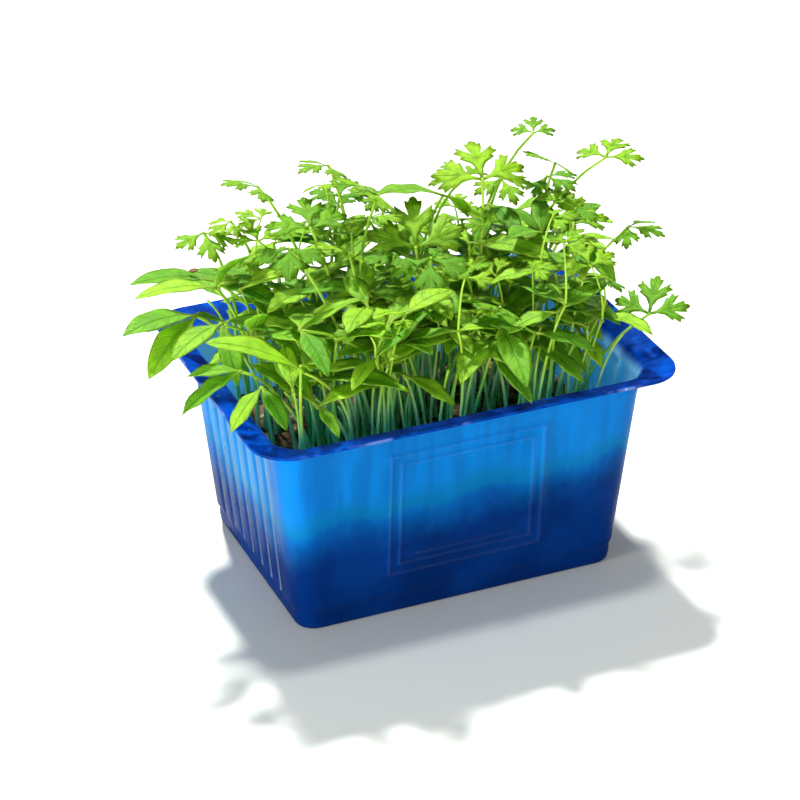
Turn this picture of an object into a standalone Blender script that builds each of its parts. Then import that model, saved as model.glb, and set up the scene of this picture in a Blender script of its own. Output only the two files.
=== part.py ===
"""Microgreens tray: a flared blue plastic tray, a root-filled growing substrate and leafy sprouts of a
celery-like herb. Metres, +Z up, origin on the underside of the tray's foot, long side along X."""

import math
import random

import bmesh
import bpy
from mathutils import Vector
from mathutils.bvhtree import BVHTree

# Tray, outside sizes
RIM_LENGTH = 0.140
RIM_WIDTH = 0.105
RIM_HEIGHT = 0.071
RIM_CORNER = 0.0125
FLANGE_WIDTH = 0.0085
FLANGE_RISE = 0.0022
PLASTIC = 0.0008
FOOT_LENGTH = 0.1075
FOOT_WIDTH = 0.0775
FOOT_HEIGHT = 0.0068
FOOT_RADIUS = 0.0016
FOOT_CORNER = 0.0065
WALL_FOOT_LENGTH = 0.1100
WALL_FOOT_WIDTH = 0.0800
WALL_TOP_LENGTH = 0.1215
WALL_TOP_WIDTH = 0.0870
WALL_CORNER = 0.0090
CORNER_STEPS = 4

# Flutes pressed into both short sides
FLUTES = 8
GROOVE_DEPTH = 0.0012
GROOVE_MOUTH = 0.0024
FLUTE_BOTTOM = 0.0085
FLUTE_TOP = 0.0640

# Plain framed panel raised on both long sides
PANEL_LENGTH = 0.0520
PANEL_HEIGHT = 0.0440
PANEL_MIDDLE = 0.0370
PANEL_RIDGE = 0.0011
PANEL_PROUD = 0.0005
PANEL_FRAME_GAP = 0.0034
PANEL_BAR_LENGTH = 0.0330
PANEL_BAR_DROP = 0.0155

# Growing substrate and the root plugs that stand in its holes
SOIL_TOP = 0.044
SOIL_EDGE = 0.0425
SOIL_FLOOR_GAP = 0.0003
SOIL_WALL_GAP = 0.0023
PLUG_COLUMNS = 8
PLUG_ROWS = 5
PLUG_PITCH_X = 0.0128
PLUG_PITCH_Y = 0.0132
PLUG_JITTER = 0.0012
PLUG_RADIUS = 0.0032
PLUG_DEPTH = 0.0070
PLUG_SIDES = 5
HOLE_GAP = 0.0003

# Sprouts
STEM_RADIUS = 0.00078
STEM_SIDES = 3
STEM_STEPS = 3
STEM_BOW = 0.024
STEM_SINK = 0.0025
STEM_COLLAR = 0.0008
STEM_TRIES = 60
BLADE_THICKNESS = 0.0006
LEAF_SINK = 0.0007
STEM_OVER = 0.0005
GUARD = 0.00022
BASE_RING = 0.0016
SEED = 12
FILL_PLANTS = 20
FILL_REACH_X = 50
FILL_REACH_Y = 32
LEAF_TRIES = 24
JOINT_TRIES = 5
JOINT_NUDGE = 0.0008
LEAF_WANDER = 34.0
LEAF_SHRINK = 0.25
CLUMP_CHOICES = 16
CROWDING = 0.012
PULL_X = 0.68
PULL_Y = 0.74

# A seed leaf along its length: share of the length, half width as a share of the widest half width
SEED_LEAF_STATIONS = ((0.0, 0.10), (0.42, 0.97), (0.76, 0.83))
SEED_LEAF_WIDTH = 0.36
SEED_LEAF_FOLD = 0.16
SEED_LEAF_DROOP = 34.0

# A true leaf's outline about its stalk: degrees from the middle lobe, reach as a share of the leaf's size
HALF_LEAF_OUTLINE = (
    (12, 0.76), (21, 0.84), (38, 0.24), (56, 0.80), (65, 0.70), (76, 0.94), (87, 0.66), (98, 0.70), (122, 0.16),
)
TRUE_LEAF_DROOP = 0.20

# Seed-leaf pairs that give the bunch its outline, in mm and degrees:
# joint x, y, z, then heading, pitch and length of each leaf
PAIRS = (
    (-47, -38, 78, (12, 14, 25), (112, 20, 30), (-70, -20, 15)),
    (-50, -33, 88, (172, 38, 33), (45, 12, 26)),
    (-66, -24, 87, (-172, -12, 23), (170, 14, 17)),
    (-62, -31, 84, (-150, -18, 18), (-80, -16, 17)),
    (-70, 2, 94, (-162, 18, 29), (-146, -10, 28)),
    (-66, -8, 95, (-150, 6, 24), (-92, -30, 21)),
    (-62, 8, 99, (176, 14, 26), (-60, 58, 24)),
    (-58, 20, 95, (-170, 24, 31), (-62, 12, 28)),
    (-42, -22, 78, (-52, 20, 36), (30, -10, 20)),
    (-26, -8, 82, (122, 18, 32), (-65, 10, 21)),
    (-5, 4, 79, (-95, 70, 25), (-142, 6, 21)),
    (8, -24, 84, (-165, 20, 23), (-12, -40, 23)),
    (16, -30, 88, (-96, -6, 27), (14, -8, 28)),
    (11, -36, 82, (-74, -14, 21), (130, -16, 20)),
    (34, -18, 80, (-62, 2, 30), (-100, -12, 20)),
    (29, -31, 79, (-70, -4, 21), (112, -8, 18)),
    (44, -6, 81, (-54, 12, 25), (-68, -4, 25)),
    (49, -23, 78, (-84, -4, 19), (84, 14, 19)),
    (62, 18, 94, (-60, 26, 19), (30, 8, 21)),
    (64, 12, 90, (-82, -14, 23), (102, 0, 19)),
    (18, 18, 111, (-172, 26, 27), (30, -30, 20)),
    (21, 4, 100, (98, 6, 20), (-46, 12, 29)),
    (35, 20, 104, (-84, 4, 21), (-136, -8, 21)),
    (-16, -30, 78, (-52, -16, 21), (98, -6, 17)),
    (-57, -10, 90, (-64, 26, 24), (-92, 60, 20)),
    (-17, 10, 87, (118, -6, 23), (22, -9, 23)),
    (12, 14, 79, (26, -6, 24), (112, -12, 23)),
    (41, 18, 80, (20, -4, 25), (-150, 16, 22)),
)

# True leaves on long stalks: joint x, y, z, then heading and pitch of the middle lobe, and size
TRUE_LEAVES = (
    (51, 22, 125, 66, 24, 9),
    (57, 4, 100, 72, 34, 14),
    (-45, 14, 127, -172, 24, 13),
    (-32, 4, 115, 82, 22, 16),
    (-18, 24, 125, -160, 20, 12),
    (-8, 8, 120, -172, 38, 18),
    (-42, -4, 114, -112, -4, 14),
    (-60, 22, 111, -96, -14, 12),
    (-51, 22, 113, -132, -12, 12),
    (-46, 12, 110, 66, 10, 12),
    (-21, 0, 106, -160, 42, 15),
    (-10, -10, 108, -138, 0, 15),
    (-9, 14, 110, -62, 26, 14),
    (27, 8, 119, 76, 34, 18),
    (17, 3, 117, 110, 24, 15),
    (56, 16, 116, -162, 40, 13),
    (76, 20, 113, 44, 18, 14),
    (80, 10, 92, -52, 14, 13),
    (67, -30, 82, 70, 36, 17),
    (1, 0, 104, 78, 52, 20),
    (-1, -16, 108, -120, -14, 16),
    (37, 0, 92, -146, 44, 12),
    (56, 22, 109, -70, 4, 13),
    (39, 20, 112, -92, -10, 12),
    (16, -29, 94, -150, 34, 12),
    (-51, -35, 91, -70, 20, 9),
    (29, 26, 112, 98, 10, 13),
    (-12, 30, 111, 56, 18, 13),
)
MM = 0.001

COLOURS = {
    "tray_blue": ((0.01, 0.16, 0.75, 1.0), 0.22),
    "substrate": ((0.16, 0.09, 0.05, 1.0), 0.95),
    "sprout_green": ((0.20, 0.46, 0.03, 1.0), 0.45),
}


def clear_scene():
    for obj in list(bpy.data.objects):
        bpy.data.objects.remove(obj, do_unlink=True)


def new_collection(name):
    collection = bpy.data.collections.new(name)
    bpy.context.scene.collection.children.link(collection)
    return collection


def finish(name):
    colour, roughness = COLOURS[name]
    material = bpy.data.materials.new(name)
    material.use_nodes = True
    shader = material.node_tree.nodes["Principled BSDF"]
    shader.inputs["Base Color"].default_value = colour
    shader.inputs["Roughness"].default_value = roughness
    shader.inputs["Metallic"].default_value = 0.0
    material.diffuse_color = colour
    return material


def mesh_object(name, points, faces, collection, material=None):
    mesh = bpy.data.meshes.new(name)
    mesh.from_pydata(points, [], faces)
    if material:
        mesh.materials.append(material)
    obj = bpy.data.objects.new(name, mesh)
    collection.objects.link(obj)
    return obj


def bake_modifiers(obj):
    """Puts the evaluated shape in the object's own mesh and drops its modifiers."""
    graph = bpy.context.evaluated_depsgraph_get()
    mesh = bpy.data.meshes.new_from_object(obj.evaluated_get(graph))
    obj.modifiers.clear()
    obj.data = mesh


def join_solids(obj, collection):
    """Unites obj with every solid of the collection, then removes those solids."""
    union = obj.modifiers.new("join", "BOOLEAN")
    union.operation = "UNION"
    union.operand_type = "COLLECTION"
    union.collection = collection
    union.solver = "EXACT"
    union.use_self = True
    bake_modifiers(obj)
    for piece in list(collection.objects):
        bpy.data.objects.remove(piece, do_unlink=True)


def smooth(obj, angle):
    obj.data.shade_smooth()
    obj.data.set_sharp_from_angle(angle=math.radians(angle))


def side_points(half_length, flat, groove_depth):
    """Points up one fluted short side, from the -Y end to the +Y end, as (x, y)."""
    points = [(half_length, -flat / 2)]
    for groove in range(1, FLUTES):
        y = flat * (groove / FLUTES - 0.5)
        points += [
            (half_length, y - GROOVE_MOUTH / 2),
            (half_length - groove_depth, y),
            (half_length, y + GROOVE_MOUTH / 2),
        ]
    points.append((half_length, flat / 2))
    return points


def tray_ring(length, width, corner, z, groove_depth=0.0):
    """One level of the tray's outside: a rounded rectangle, fluted on its short sides."""
    half = side_points(length / 2, width - 2 * corner, groove_depth)
    for step in range(1, CORNER_STEPS):
        turn = math.pi / 2 * step / CORNER_STEPS
        half.append((length / 2 - corner * (1 - math.cos(turn)), width / 2 - corner * (1 - math.sin(turn))))
    half.append((length / 2 - corner, width / 2))
    half.append((corner - length / 2, width / 2))
    for step in range(1, CORNER_STEPS):
        turn = math.pi / 2 * step / CORNER_STEPS
        half.append((corner * (1 - math.sin(turn)) - length / 2, width / 2 - corner * (1 - math.cos(turn))))
    return [(x, y, z) for x, y in half] + [(-x, -y, z) for x, y in half]


def tray_levels():
    """The levels of the tray's outside, from the foot's underside to the rim's edge."""
    neck_length = RIM_LENGTH - 2 * FLANGE_WIDTH
    neck_width = RIM_WIDTH - 2 * FLANGE_WIDTH
    neck = RIM_HEIGHT - FLANGE_RISE - PLASTIC
    return [
        tray_ring(FOOT_LENGTH - 2 * FOOT_RADIUS, FOOT_WIDTH - 2 * FOOT_RADIUS, FOOT_CORNER - FOOT_RADIUS, 0),
        tray_ring(FOOT_LENGTH, FOOT_WIDTH, FOOT_CORNER, FOOT_RADIUS),
        tray_ring(FOOT_LENGTH + 0.0006, FOOT_WIDTH + 0.0006, FOOT_CORNER, FOOT_HEIGHT),
        tray_ring(WALL_FOOT_LENGTH, WALL_FOOT_WIDTH, WALL_CORNER - 0.001, FLUTE_BOTTOM, GROOVE_DEPTH),
        tray_ring(WALL_TOP_LENGTH, WALL_TOP_WIDTH, WALL_CORNER, FLUTE_TOP, GROOVE_DEPTH),
        tray_ring(WALL_TOP_LENGTH + 0.0003, WALL_TOP_WIDTH + 0.0002, WALL_CORNER, FLUTE_TOP + 0.002),
        tray_ring(neck_length + 0.001, neck_width + 0.0015, WALL_CORNER + 0.0007, neck),
        tray_ring(RIM_LENGTH, RIM_WIDTH, RIM_CORNER, RIM_HEIGHT - PLASTIC),
    ]


def loft(levels, closed_top=False):
    """Points and faces of a skin over rings of equal length, closed below, and above where asked."""
    count = len(levels[0])
    points = [point for level in levels for point in level]
    faces = [tuple(reversed(range(count)))]
    for level in range(len(levels) - 1):
        low, high = level * count, (level + 1) * count
        for i in range(count):
            j = (i + 1) % count
            faces.append((low + i, low + j, high + j, high + i))
    if closed_top:
        faces.append(tuple(range((len(levels) - 1) * count, len(levels) * count)))
    return points, faces


def wall_lean():
    """The long wall's lean from upright, in radians."""
    return math.atan2((WALL_TOP_WIDTH - WALL_FOOT_WIDTH) / 2, FLUTE_TOP - FLUTE_BOTTOM)


def panel_piece(name, rectangles, collection):
    """A flat ridge drawn as nested rectangles (centre height, length, height), laid on the front wall."""
    curve = bpy.data.curves.new(name, "CURVE")
    curve.dimensions = "2D"
    curve.fill_mode = "BOTH"
    curve.extrude = PANEL_PROUD + PLASTIC / 4
    for middle, length, height in rectangles:
        spline = curve.splines.new("POLY")
        spline.points.add(3)
        for point, (u, v) in zip(spline.points, ((-1, -1), (1, -1), (1, 1), (-1, 1))):
            point.co = (u * length / 2, middle + v * height / 2, 0, 1)
        spline.use_cyclic_u = True
    drawn = bpy.data.objects.new(name, curve)
    collection.objects.link(drawn)
    lean = wall_lean()
    up_wall = (PANEL_MIDDLE - FLUTE_BOTTOM) / (FLUTE_TOP - FLUTE_BOTTOM)
    wall_y = -(WALL_FOOT_WIDTH + up_wall * (WALL_TOP_WIDTH - WALL_FOOT_WIDTH)) / 2
    drawn.location = (0, wall_y + PLASTIC / 4, PANEL_MIDDLE)
    drawn.rotation_euler = (math.pi / 2 + lean, 0, 0)
    bpy.context.view_layer.update()
    graph = bpy.context.evaluated_depsgraph_get()
    mesh = bpy.data.meshes.new_from_object(drawn.evaluated_get(graph))
    mesh.transform(drawn.matrix_world)
    bpy.data.objects.remove(drawn, do_unlink=True)
    body = bmesh.new()
    body.from_mesh(mesh)
    bmesh.ops.remove_doubles(body, verts=body.verts, dist=1e-6)
    bmesh.ops.recalc_face_normals(body, faces=body.faces)
    body.to_mesh(mesh)
    body.free()
    piece = bpy.data.objects.new(name, mesh)
    collection.objects.link(piece)
    return piece


def panel_relief(collection):
    """Two nested frames and a short bar, on the front wall and, turned round, on the back wall."""
    outer = (0.0, PANEL_LENGTH, PANEL_HEIGHT)
    inset = 2 * PANEL_FRAME_GAP
    for name, (middle, length, height) in (
        ("frame_outer", outer),
        ("frame_inner", (0.0, PANEL_LENGTH - inset, PANEL_HEIGHT - inset)),
    ):
        inside = (middle, length - 2 * PANEL_RIDGE, height - 2 * PANEL_RIDGE)
        panel_piece(name, ((middle, length, height), inside), collection)
    panel_piece("frame_bar", ((-PANEL_BAR_DROP, PANEL_BAR_LENGTH, PANEL_RIDGE),), collection)
    for piece in list(collection.objects):
        twin = bpy.data.objects.new(piece.name + "_back", piece.data.copy())
        twin.rotation_euler = (0, 0, math.pi)
        collection.objects.link(twin)


def build_tray(parts, material):
    points, faces = loft(tray_levels())
    tray = mesh_object("tray", points, faces, parts, material)
    skin = tray.modifiers.new("plastic", "SOLIDIFY")
    skin.thickness = PLASTIC
    skin.offset = -1
    skin.use_even_offset = True
    bake_modifiers(tray)
    relief = new_collection("panel relief")
    panel_relief(relief)
    join_solids(tray, relief)
    bpy.data.collections.remove(relief)
    smooth(tray, 30)
    return tray


def plug_places():
    """Where the clumps' root plugs stand in the substrate: a slightly uneven grid."""
    rng = random.Random(SEED)
    places = []
    for column in range(PLUG_COLUMNS):
        for row in range(PLUG_ROWS):
            x = (column - (PLUG_COLUMNS - 1) / 2) * PLUG_PITCH_X
            y = (row - (PLUG_ROWS - 1) / 2) * PLUG_PITCH_Y
            places.append((x + rng.uniform(-1, 1) * PLUG_JITTER, y + rng.uniform(-1, 1) * PLUG_JITTER))
    return places


def soil_ring(z, inset=0.0):
    share = max(0.0, (z - FLUTE_BOTTOM) / (FLUTE_TOP - FLUTE_BOTTOM))
    length = WALL_FOOT_LENGTH + share * (WALL_TOP_LENGTH - WALL_FOOT_LENGTH)
    width = WALL_FOOT_WIDTH + share * (WALL_TOP_WIDTH - WALL_FOOT_WIDTH)
    if z < FLUTE_BOTTOM:
        length, width = FOOT_LENGTH, FOOT_WIDTH
    length -= 2 * (SOIL_WALL_GAP + inset)
    width -= 2 * (PLASTIC + 0.0006 + inset)
    corner = WALL_CORNER - PLASTIC
    ring = []
    for quarter, (sx, sy) in enumerate(((1, 1), (-1, 1), (-1, -1), (1, -1))):
        for step in range(CORNER_STEPS):
            turn = math.pi / 2 * (quarter + step / (CORNER_STEPS - 1))
            x = sx * (length / 2 - corner) + corner * math.cos(turn)
            y = sy * (width / 2 - corner) + corner * math.sin(turn)
            ring.append((x, y, z))
    return ring


def build_substrate(parts, material, places):
    floor = PLASTIC + SOIL_FLOOR_GAP
    levels = [
        soil_ring(floor, FOOT_RADIUS + 0.0006),
        soil_ring(floor + FOOT_RADIUS),
        soil_ring(FLUTE_BOTTOM - 0.0002),
        soil_ring(SOIL_EDGE),
        soil_ring(SOIL_TOP, 0.004),
    ]
    points, faces = loft(levels, closed_top=True)
    soil = mesh_object("substrate", points, faces, parts, material)
    cutters = new_collection("plug holes")
    for x, y in places:
        bpy.ops.mesh.primitive_cylinder_add(
            vertices=PLUG_SIDES,
            radius=PLUG_RADIUS + HOLE_GAP,
            depth=2 * (PLUG_DEPTH + HOLE_GAP),
            location=(x, y, SOIL_TOP),
        )
        hole = bpy.context.object
        for owner in list(hole.users_collection):
            owner.objects.unlink(hole)
        cutters.objects.link(hole)
        hole.hide_render = True
        hole.display_type = "WIRE"
    cut = soil.modifiers.new("holes", "BOOLEAN")
    cut.operation = "DIFFERENCE"
    cut.operand_type = "COLLECTION"
    cut.collection = cutters
    cut.solver = "EXACT"
    bake_modifiers(soil)
    for hole in list(cutters.objects):
        bpy.data.objects.remove(hole, do_unlink=True)
    bpy.data.collections.remove(cutters)
    return soil


def direction(heading, pitch):
    """A unit vector from degrees round from +X and degrees above the horizon."""
    turn, rise = math.radians(heading), math.radians(pitch)
    return Vector((math.cos(turn) * math.cos(rise), math.sin(turn) * math.cos(rise), math.sin(rise)))


def leaf_axes(heading, pitch):
    """Along the leaf, across it, and out of its upper face."""
    along = direction(heading, pitch)
    across = direction(heading - 90, 0)
    return along, across, across.cross(along)


def stem_solid(curve, radius):
    """A thin closed tube along the points of a curve."""
    points, faces = [], []
    for i, centre in enumerate(curve):
        ahead = (curve[min(i + 1, len(curve) - 1)] - curve[max(i - 1, 0)]).normalized()
        across = ahead.cross(Vector((0.3, 1, 0))).normalized()
        other = ahead.cross(across)
        for side in range(STEM_SIDES):
            turn = 2 * math.pi * side / STEM_SIDES
            points.append(centre + radius * (math.cos(turn) * across + math.sin(turn) * other))
    for i in range(len(curve) - 1):
        for side in range(STEM_SIDES):
            a, b = i * STEM_SIDES + side, i * STEM_SIDES + (side + 1) % STEM_SIDES
            faces += [(a, b, b + STEM_SIDES), (a, b + STEM_SIDES, a + STEM_SIDES)]
    faces.append(tuple(reversed(range(STEM_SIDES))))
    last = (len(curve) - 1) * STEM_SIDES
    faces.append(tuple(range(last, last + STEM_SIDES)))
    return points, faces


def seed_leaf_solid(joint, heading, pitch, length, grow=0.0):
    """A long arched seed leaf, folded a little along its rib, with its narrow stalk end in the joint."""
    half_thick = BLADE_THICKNESS / 2 + grow
    widest = SEED_LEAF_WIDTH * length / 2 + grow
    points, faces = [], []
    centre, last = Vector(joint) - direction(heading, pitch) * LEAF_SINK, 0.0
    for share, width in SEED_LEAF_STATIONS + ((1.0, 0.0),):
        along, across, out = leaf_axes(heading, pitch + SEED_LEAF_DROOP * (0.35 - share))
        centre = centre + along * length * (share - last)
        last = share
        if width == 0.0:
            points += [centre + out * half_thick * 0.7, centre - out * half_thick * 0.7]
            break
        half = max(widest * width, half_thick)
        lift = out * half * SEED_LEAF_FOLD
        for face in (half_thick, -half_thick):
            points += [centre - across * half + lift + out * face, centre + out * face]
            points += [centre + across * half + lift + out * face]
    for section in range(len(SEED_LEAF_STATIONS) - 1):
        a, b = section * 6, section * 6 + 6
        faces += [(a, a + 1, b + 1), (a, b + 1, b), (a + 1, a + 2, b + 2), (a + 1, b + 2, b + 1)]
        faces += [(a + 3, b + 4, a + 4), (a + 3, b + 3, b + 4), (a + 4, b + 5, a + 5), (a + 4, b + 4, b + 5)]
        faces += [(a + 2, a + 5, b + 5), (a + 2, b + 5, b + 2), (a, b, b + 3), (a, b + 3, a + 3)]
    a = (len(SEED_LEAF_STATIONS) - 1) * 6
    tip, under = a + 6, a + 7
    faces += [(a, a + 1, tip), (a + 1, a + 2, tip), (a + 4, a + 3, under), (a + 5, a + 4, under)]
    faces += [(a + 2, a + 5, under, tip), (a + 3, a, tip, under)]
    faces += [(1, 0, 3, 4), (2, 1, 4, 5)]
    return points, faces


def true_leaf_outline():
    """The whole outline, left side lobe to right side lobe, as (degrees, reach)."""
    left = [(-angle, reach) for angle, reach in reversed(HALF_LEAF_OUTLINE)]
    return left + [(0, 1.0)] + list(HALF_LEAF_OUTLINE)


def true_leaf_solid(joint, heading, pitch, size, grow=0.0):
    """A three-lobed toothed blade, arched down towards its lobes' tips."""
    along, across, out = leaf_axes(heading, pitch)
    half_thick = BLADE_THICKNESS / 2 + grow
    back = Vector(joint) - along * (0.05 * size + grow)
    rim = []
    for angle, reach in true_leaf_outline():
        turn, far = math.radians(angle), reach * size + grow
        flat = along * math.cos(turn) * far + across * math.sin(turn) * far
        rim.append(Vector(joint) + flat - out * TRUE_LEAF_DROOP * size * reach * reach)
    points = []
    for face in (half_thick, -half_thick):
        points += [back + out * face] + [point + out * face for point in rim]
    under = len(rim) + 1
    faces = []
    for i in range(1, len(rim)):
        faces += [(0, i + 1, i), (under, under + i, under + i + 1)]
    loop = list(range(len(rim) + 1))
    for i, j in zip(loop, loop[1:] + loop[:1]):
        faces += [(i, j, under + j), (i, under + j, under + i)]
    return points, faces


def stem_curve(foot, joint, bow, steps=STEM_STEPS):
    """Straight up out of the plug first, then leaning over to the joint; bow pushes its middle aside."""
    collar = foot + Vector((0, 0, STEM_SINK + STEM_COLLAR))
    rise = Vector(((joint.x - foot.x) * 0.14, (joint.y - foot.y) * 0.14, (joint.z - collar.z) * 0.70))
    lift = collar + rise + bow
    shares = [i / steps for i in range(steps + 1)]
    curve = [collar * (1 - t) ** 2 + lift * 2 * t * (1 - t) + joint * t * t for t in shares]
    curve[-1] = curve[-1] + (joint - lift).normalized() * STEM_OVER
    return [foot] + curve


def clears_tray(points):
    """True where no point comes near the wall, or near the rim from above or below."""
    for point in points:
        spare = 0.0032 if point.z < SOIL_TOP + 0.012 else 0.0022
        outside_x = abs(point.x) > RIM_LENGTH / 2 - FLANGE_WIDTH - spare
        outside_y = abs(point.y) > RIM_WIDTH / 2 - FLANGE_WIDTH - spare
        if point.z < RIM_HEIGHT + 0.0012 and (outside_x or outside_y):
            return False
    return True


def meets(tree, owner, taken):
    return any(other_owner != owner and tree.overlap(other) for other_owner, other in taken)


def settle_leaf(make_solid, asked, taken, rng):
    """Turns, tilts and shortens a leaf little by little until no other plant's leaf is in its way."""
    joint, heading, pitch, length = asked
    for attempt in range(LEAF_TRIES):
        loose = LEAF_WANDER * attempt / LEAF_TRIES
        turn, tilt = rng.uniform(-1, 1) * loose, rng.uniform(-1, 1) * loose * 0.6
        facts = (joint, heading + turn, pitch + tilt, length * (1.0 - LEAF_SHRINK * attempt / LEAF_TRIES))
        points, faces = make_solid(*facts, GUARD)
        tree = BVHTree.FromPolygons(points, faces)
        if clears_tray(points) and not meets(tree, None, taken):
            return facts, tree
    return None, None


def asked_plants():
    """Every plant as (joint, seed leaves, true leaf): the listed ones, then seeded ones that fill the tray."""
    plants = []
    for x, y, z, *leaves in PAIRS:
        plants.append((Vector((x, y, z)) * MM, leaves, None))
    for x, y, z, heading, pitch, size in TRUE_LEAVES:
        plants.append((Vector((x, y, z)) * MM, [], (heading, pitch, size)))
    rng = random.Random(SEED + 1)
    for number in range(FILL_PLANTS):
        x = (number * 0.618 % 1 - 0.5) * 2 * FILL_REACH_X
        y = ((number + 0.5) / FILL_PLANTS - 0.5) * 2 * FILL_REACH_Y
        heading = rng.uniform(-180, 180)
        joint = Vector((x + rng.uniform(-3, 3), y + rng.uniform(-3, 3), rng.uniform(76, 104))) * MM
        first = (heading, rng.uniform(-12, 28), rng.uniform(20, 27))
        second = (heading + rng.uniform(140, 220), rng.uniform(-12, 28), rng.uniform(18, 25))
        plants.append((joint, [first, second], None))
    return plants


def place_leaves(rng, taken):
    """Each plant's joint and its leaves, as (kind, joint, heading, pitch, length), clear of all the others.
    Where a plant's leaves don't all fit about its joint, the whole plant is tried a little to the side."""
    plants = []
    for plant, (joint, leaves, true_leaf) in enumerate(asked_plants()):
        asked = [("seed leaf", *leaf) for leaf in leaves]
        if true_leaf:
            asked.append(("true leaf", *true_leaf))
        best, best_trees = [], []
        for nudge in range(JOINT_TRIES):
            aside = Vector((rng.uniform(-1, 1), rng.uniform(-1, 1), rng.uniform(-1, 1))) * JOINT_NUDGE * nudge
            trees, kept = [], []
            for kind, heading, pitch, length in asked:
                make_solid = seed_leaf_solid if kind == "seed leaf" else true_leaf_solid
                wanted = (joint + aside, heading, pitch, length * MM)
                facts, tree = settle_leaf(make_solid, wanted, taken, rng)
                if facts:
                    kept.append((kind, *facts))
                    trees.append((plant, tree))
            if len(kept) > len(best):
                best, best_trees = kept, trees
            if len(best) == len(asked):
                break
        taken += best_trees
        plants.append(best)
    return plants


def root_plant(plant, joint, places, counts, taken_leaves, taken_stems, rng):
    """The clump and the stem (foot, joint, bow) that reach a joint without crossing another clump, or None."""
    pulled = Vector((joint.x * PULL_X, joint.y * PULL_Y))
    order = sorted(
        range(len(places)), key=lambda i: (Vector(places[i]) - pulled).length + counts[i] * CROWDING
    )
    for clump in order[:CLUMP_CHOICES]:
        spot = math.radians(137.5) * counts[clump] + clump
        x, y = places[clump]
        foot = Vector((x + BASE_RING * math.cos(spot), y + BASE_RING * math.sin(spot), SOIL_TOP - STEM_SINK))
        for attempt in range(STEM_TRIES):
            loose = STEM_BOW * attempt / STEM_TRIES
            bow = Vector((rng.uniform(-1, 1), rng.uniform(-1, 1), 0)) * loose
            points, faces = stem_solid(stem_curve(foot, joint, bow), STEM_RADIUS + GUARD)
            tree = BVHTree.FromPolygons(points, faces)
            if not clears_tray(points) or meets(tree, plant, taken_leaves) or meets(tree, None, taken_stems):
                continue
            taken_stems.append((clump, tree))
            counts[clump] += 1
            return clump, (foot, joint, bow)
    return None


def plan_clumps(places):
    """What grows from each root plug, as lists of (kind, facts), none of it crossing another clump's."""
    rng = random.Random(SEED + 2)
    clumps, counts = [[] for _ in places], [0] * len(places)
    taken_leaves, taken_stems = [], []
    for plant, leaves in enumerate(place_leaves(rng, taken_leaves)):
        if not leaves:
            continue
        rooted = root_plant(plant, leaves[0][1], places, counts, taken_leaves, taken_stems, rng)
        if not rooted:
            taken_leaves = [entry for entry in taken_leaves if entry[0] != plant]
            continue
        clump, stem = rooted
        clumps[clump].append(("stem", *stem))
        clumps[clump] += leaves
    return clumps


def solid_of(kind, facts):
    if kind == "stem":
        return stem_solid(stem_curve(*facts), STEM_RADIUS)
    return seed_leaf_solid(*facts) if kind == "seed leaf" else true_leaf_solid(*facts)


def build_clump(number, place, plan, parts, material):
    """One bunch: a root plug in its hole, with the stems and leaves that grow from it."""
    bpy.ops.mesh.primitive_cylinder_add(
        vertices=PLUG_SIDES,
        radius=PLUG_RADIUS,
        depth=PLUG_DEPTH,
        location=(place[0], place[1], SOIL_TOP - PLUG_DEPTH / 2 - 0.0002),
    )
    bunch = bpy.context.object
    bunch.name = f"sprouts_{number:02d}"
    bunch.data.name = bunch.name
    bunch.data.materials.append(material)
    for owner in list(bunch.users_collection):
        owner.objects.unlink(bunch)
    parts.objects.link(bunch)
    pieces = new_collection("sprout pieces")
    for index, (kind, *facts) in enumerate(plan):
        points, faces = solid_of(kind, facts)
        piece = mesh_object(f"piece_{index}", points, faces, pieces)
        body = bmesh.new()
        body.from_mesh(piece.data)
        bmesh.ops.recalc_face_normals(body, faces=body.faces)
        body.to_mesh(piece.data)
        body.free()
    bpy.context.view_layer.update()
    join_solids(bunch, pieces)
    bpy.data.collections.remove(pieces)
    return bunch


def main():
    clear_scene()
    parts = new_collection("microgreens tray")
    materials = {name: finish(name) for name in COLOURS}
    build_tray(parts, materials["tray_blue"])
    places = plug_places()
    build_substrate(parts, materials["substrate"], places)
    for number, (place, plan) in enumerate(zip(places, plan_clumps(places)), 1):
        build_clump(number, place, plan, parts, materials["sprout_green"])


main()
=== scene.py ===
"""Looks of the microgreens tray: leaves, stems, moulded blue plastic, substrate, floor, light, camera."""

import random
from math import cos, hypot, pi, radians, sin

import bmesh
import bpy
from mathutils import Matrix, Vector, noise
from mathutils.bvhtree import BVHTree


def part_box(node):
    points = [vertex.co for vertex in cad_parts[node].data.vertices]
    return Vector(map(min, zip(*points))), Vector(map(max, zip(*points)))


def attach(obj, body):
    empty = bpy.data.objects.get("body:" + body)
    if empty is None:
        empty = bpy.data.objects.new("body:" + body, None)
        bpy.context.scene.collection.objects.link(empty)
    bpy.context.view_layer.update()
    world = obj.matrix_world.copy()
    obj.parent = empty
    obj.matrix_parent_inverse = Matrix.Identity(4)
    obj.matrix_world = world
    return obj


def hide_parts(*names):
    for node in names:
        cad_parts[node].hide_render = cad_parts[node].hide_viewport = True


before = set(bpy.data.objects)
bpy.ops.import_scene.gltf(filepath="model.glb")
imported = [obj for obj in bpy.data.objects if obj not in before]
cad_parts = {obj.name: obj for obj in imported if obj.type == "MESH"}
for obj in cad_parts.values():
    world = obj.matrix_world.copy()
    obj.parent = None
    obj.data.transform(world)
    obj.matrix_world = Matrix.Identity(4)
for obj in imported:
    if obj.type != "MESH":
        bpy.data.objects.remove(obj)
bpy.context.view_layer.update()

# Tray, outside sizes
RIM_LENGTH = 0.140
RIM_WIDTH = 0.105
RIM_HEIGHT = 0.071
RIM_CORNER = 0.0125
FLANGE_WIDTH = 0.0085
FLANGE_RISE = 0.0022
PLASTIC = 0.0008
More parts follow.
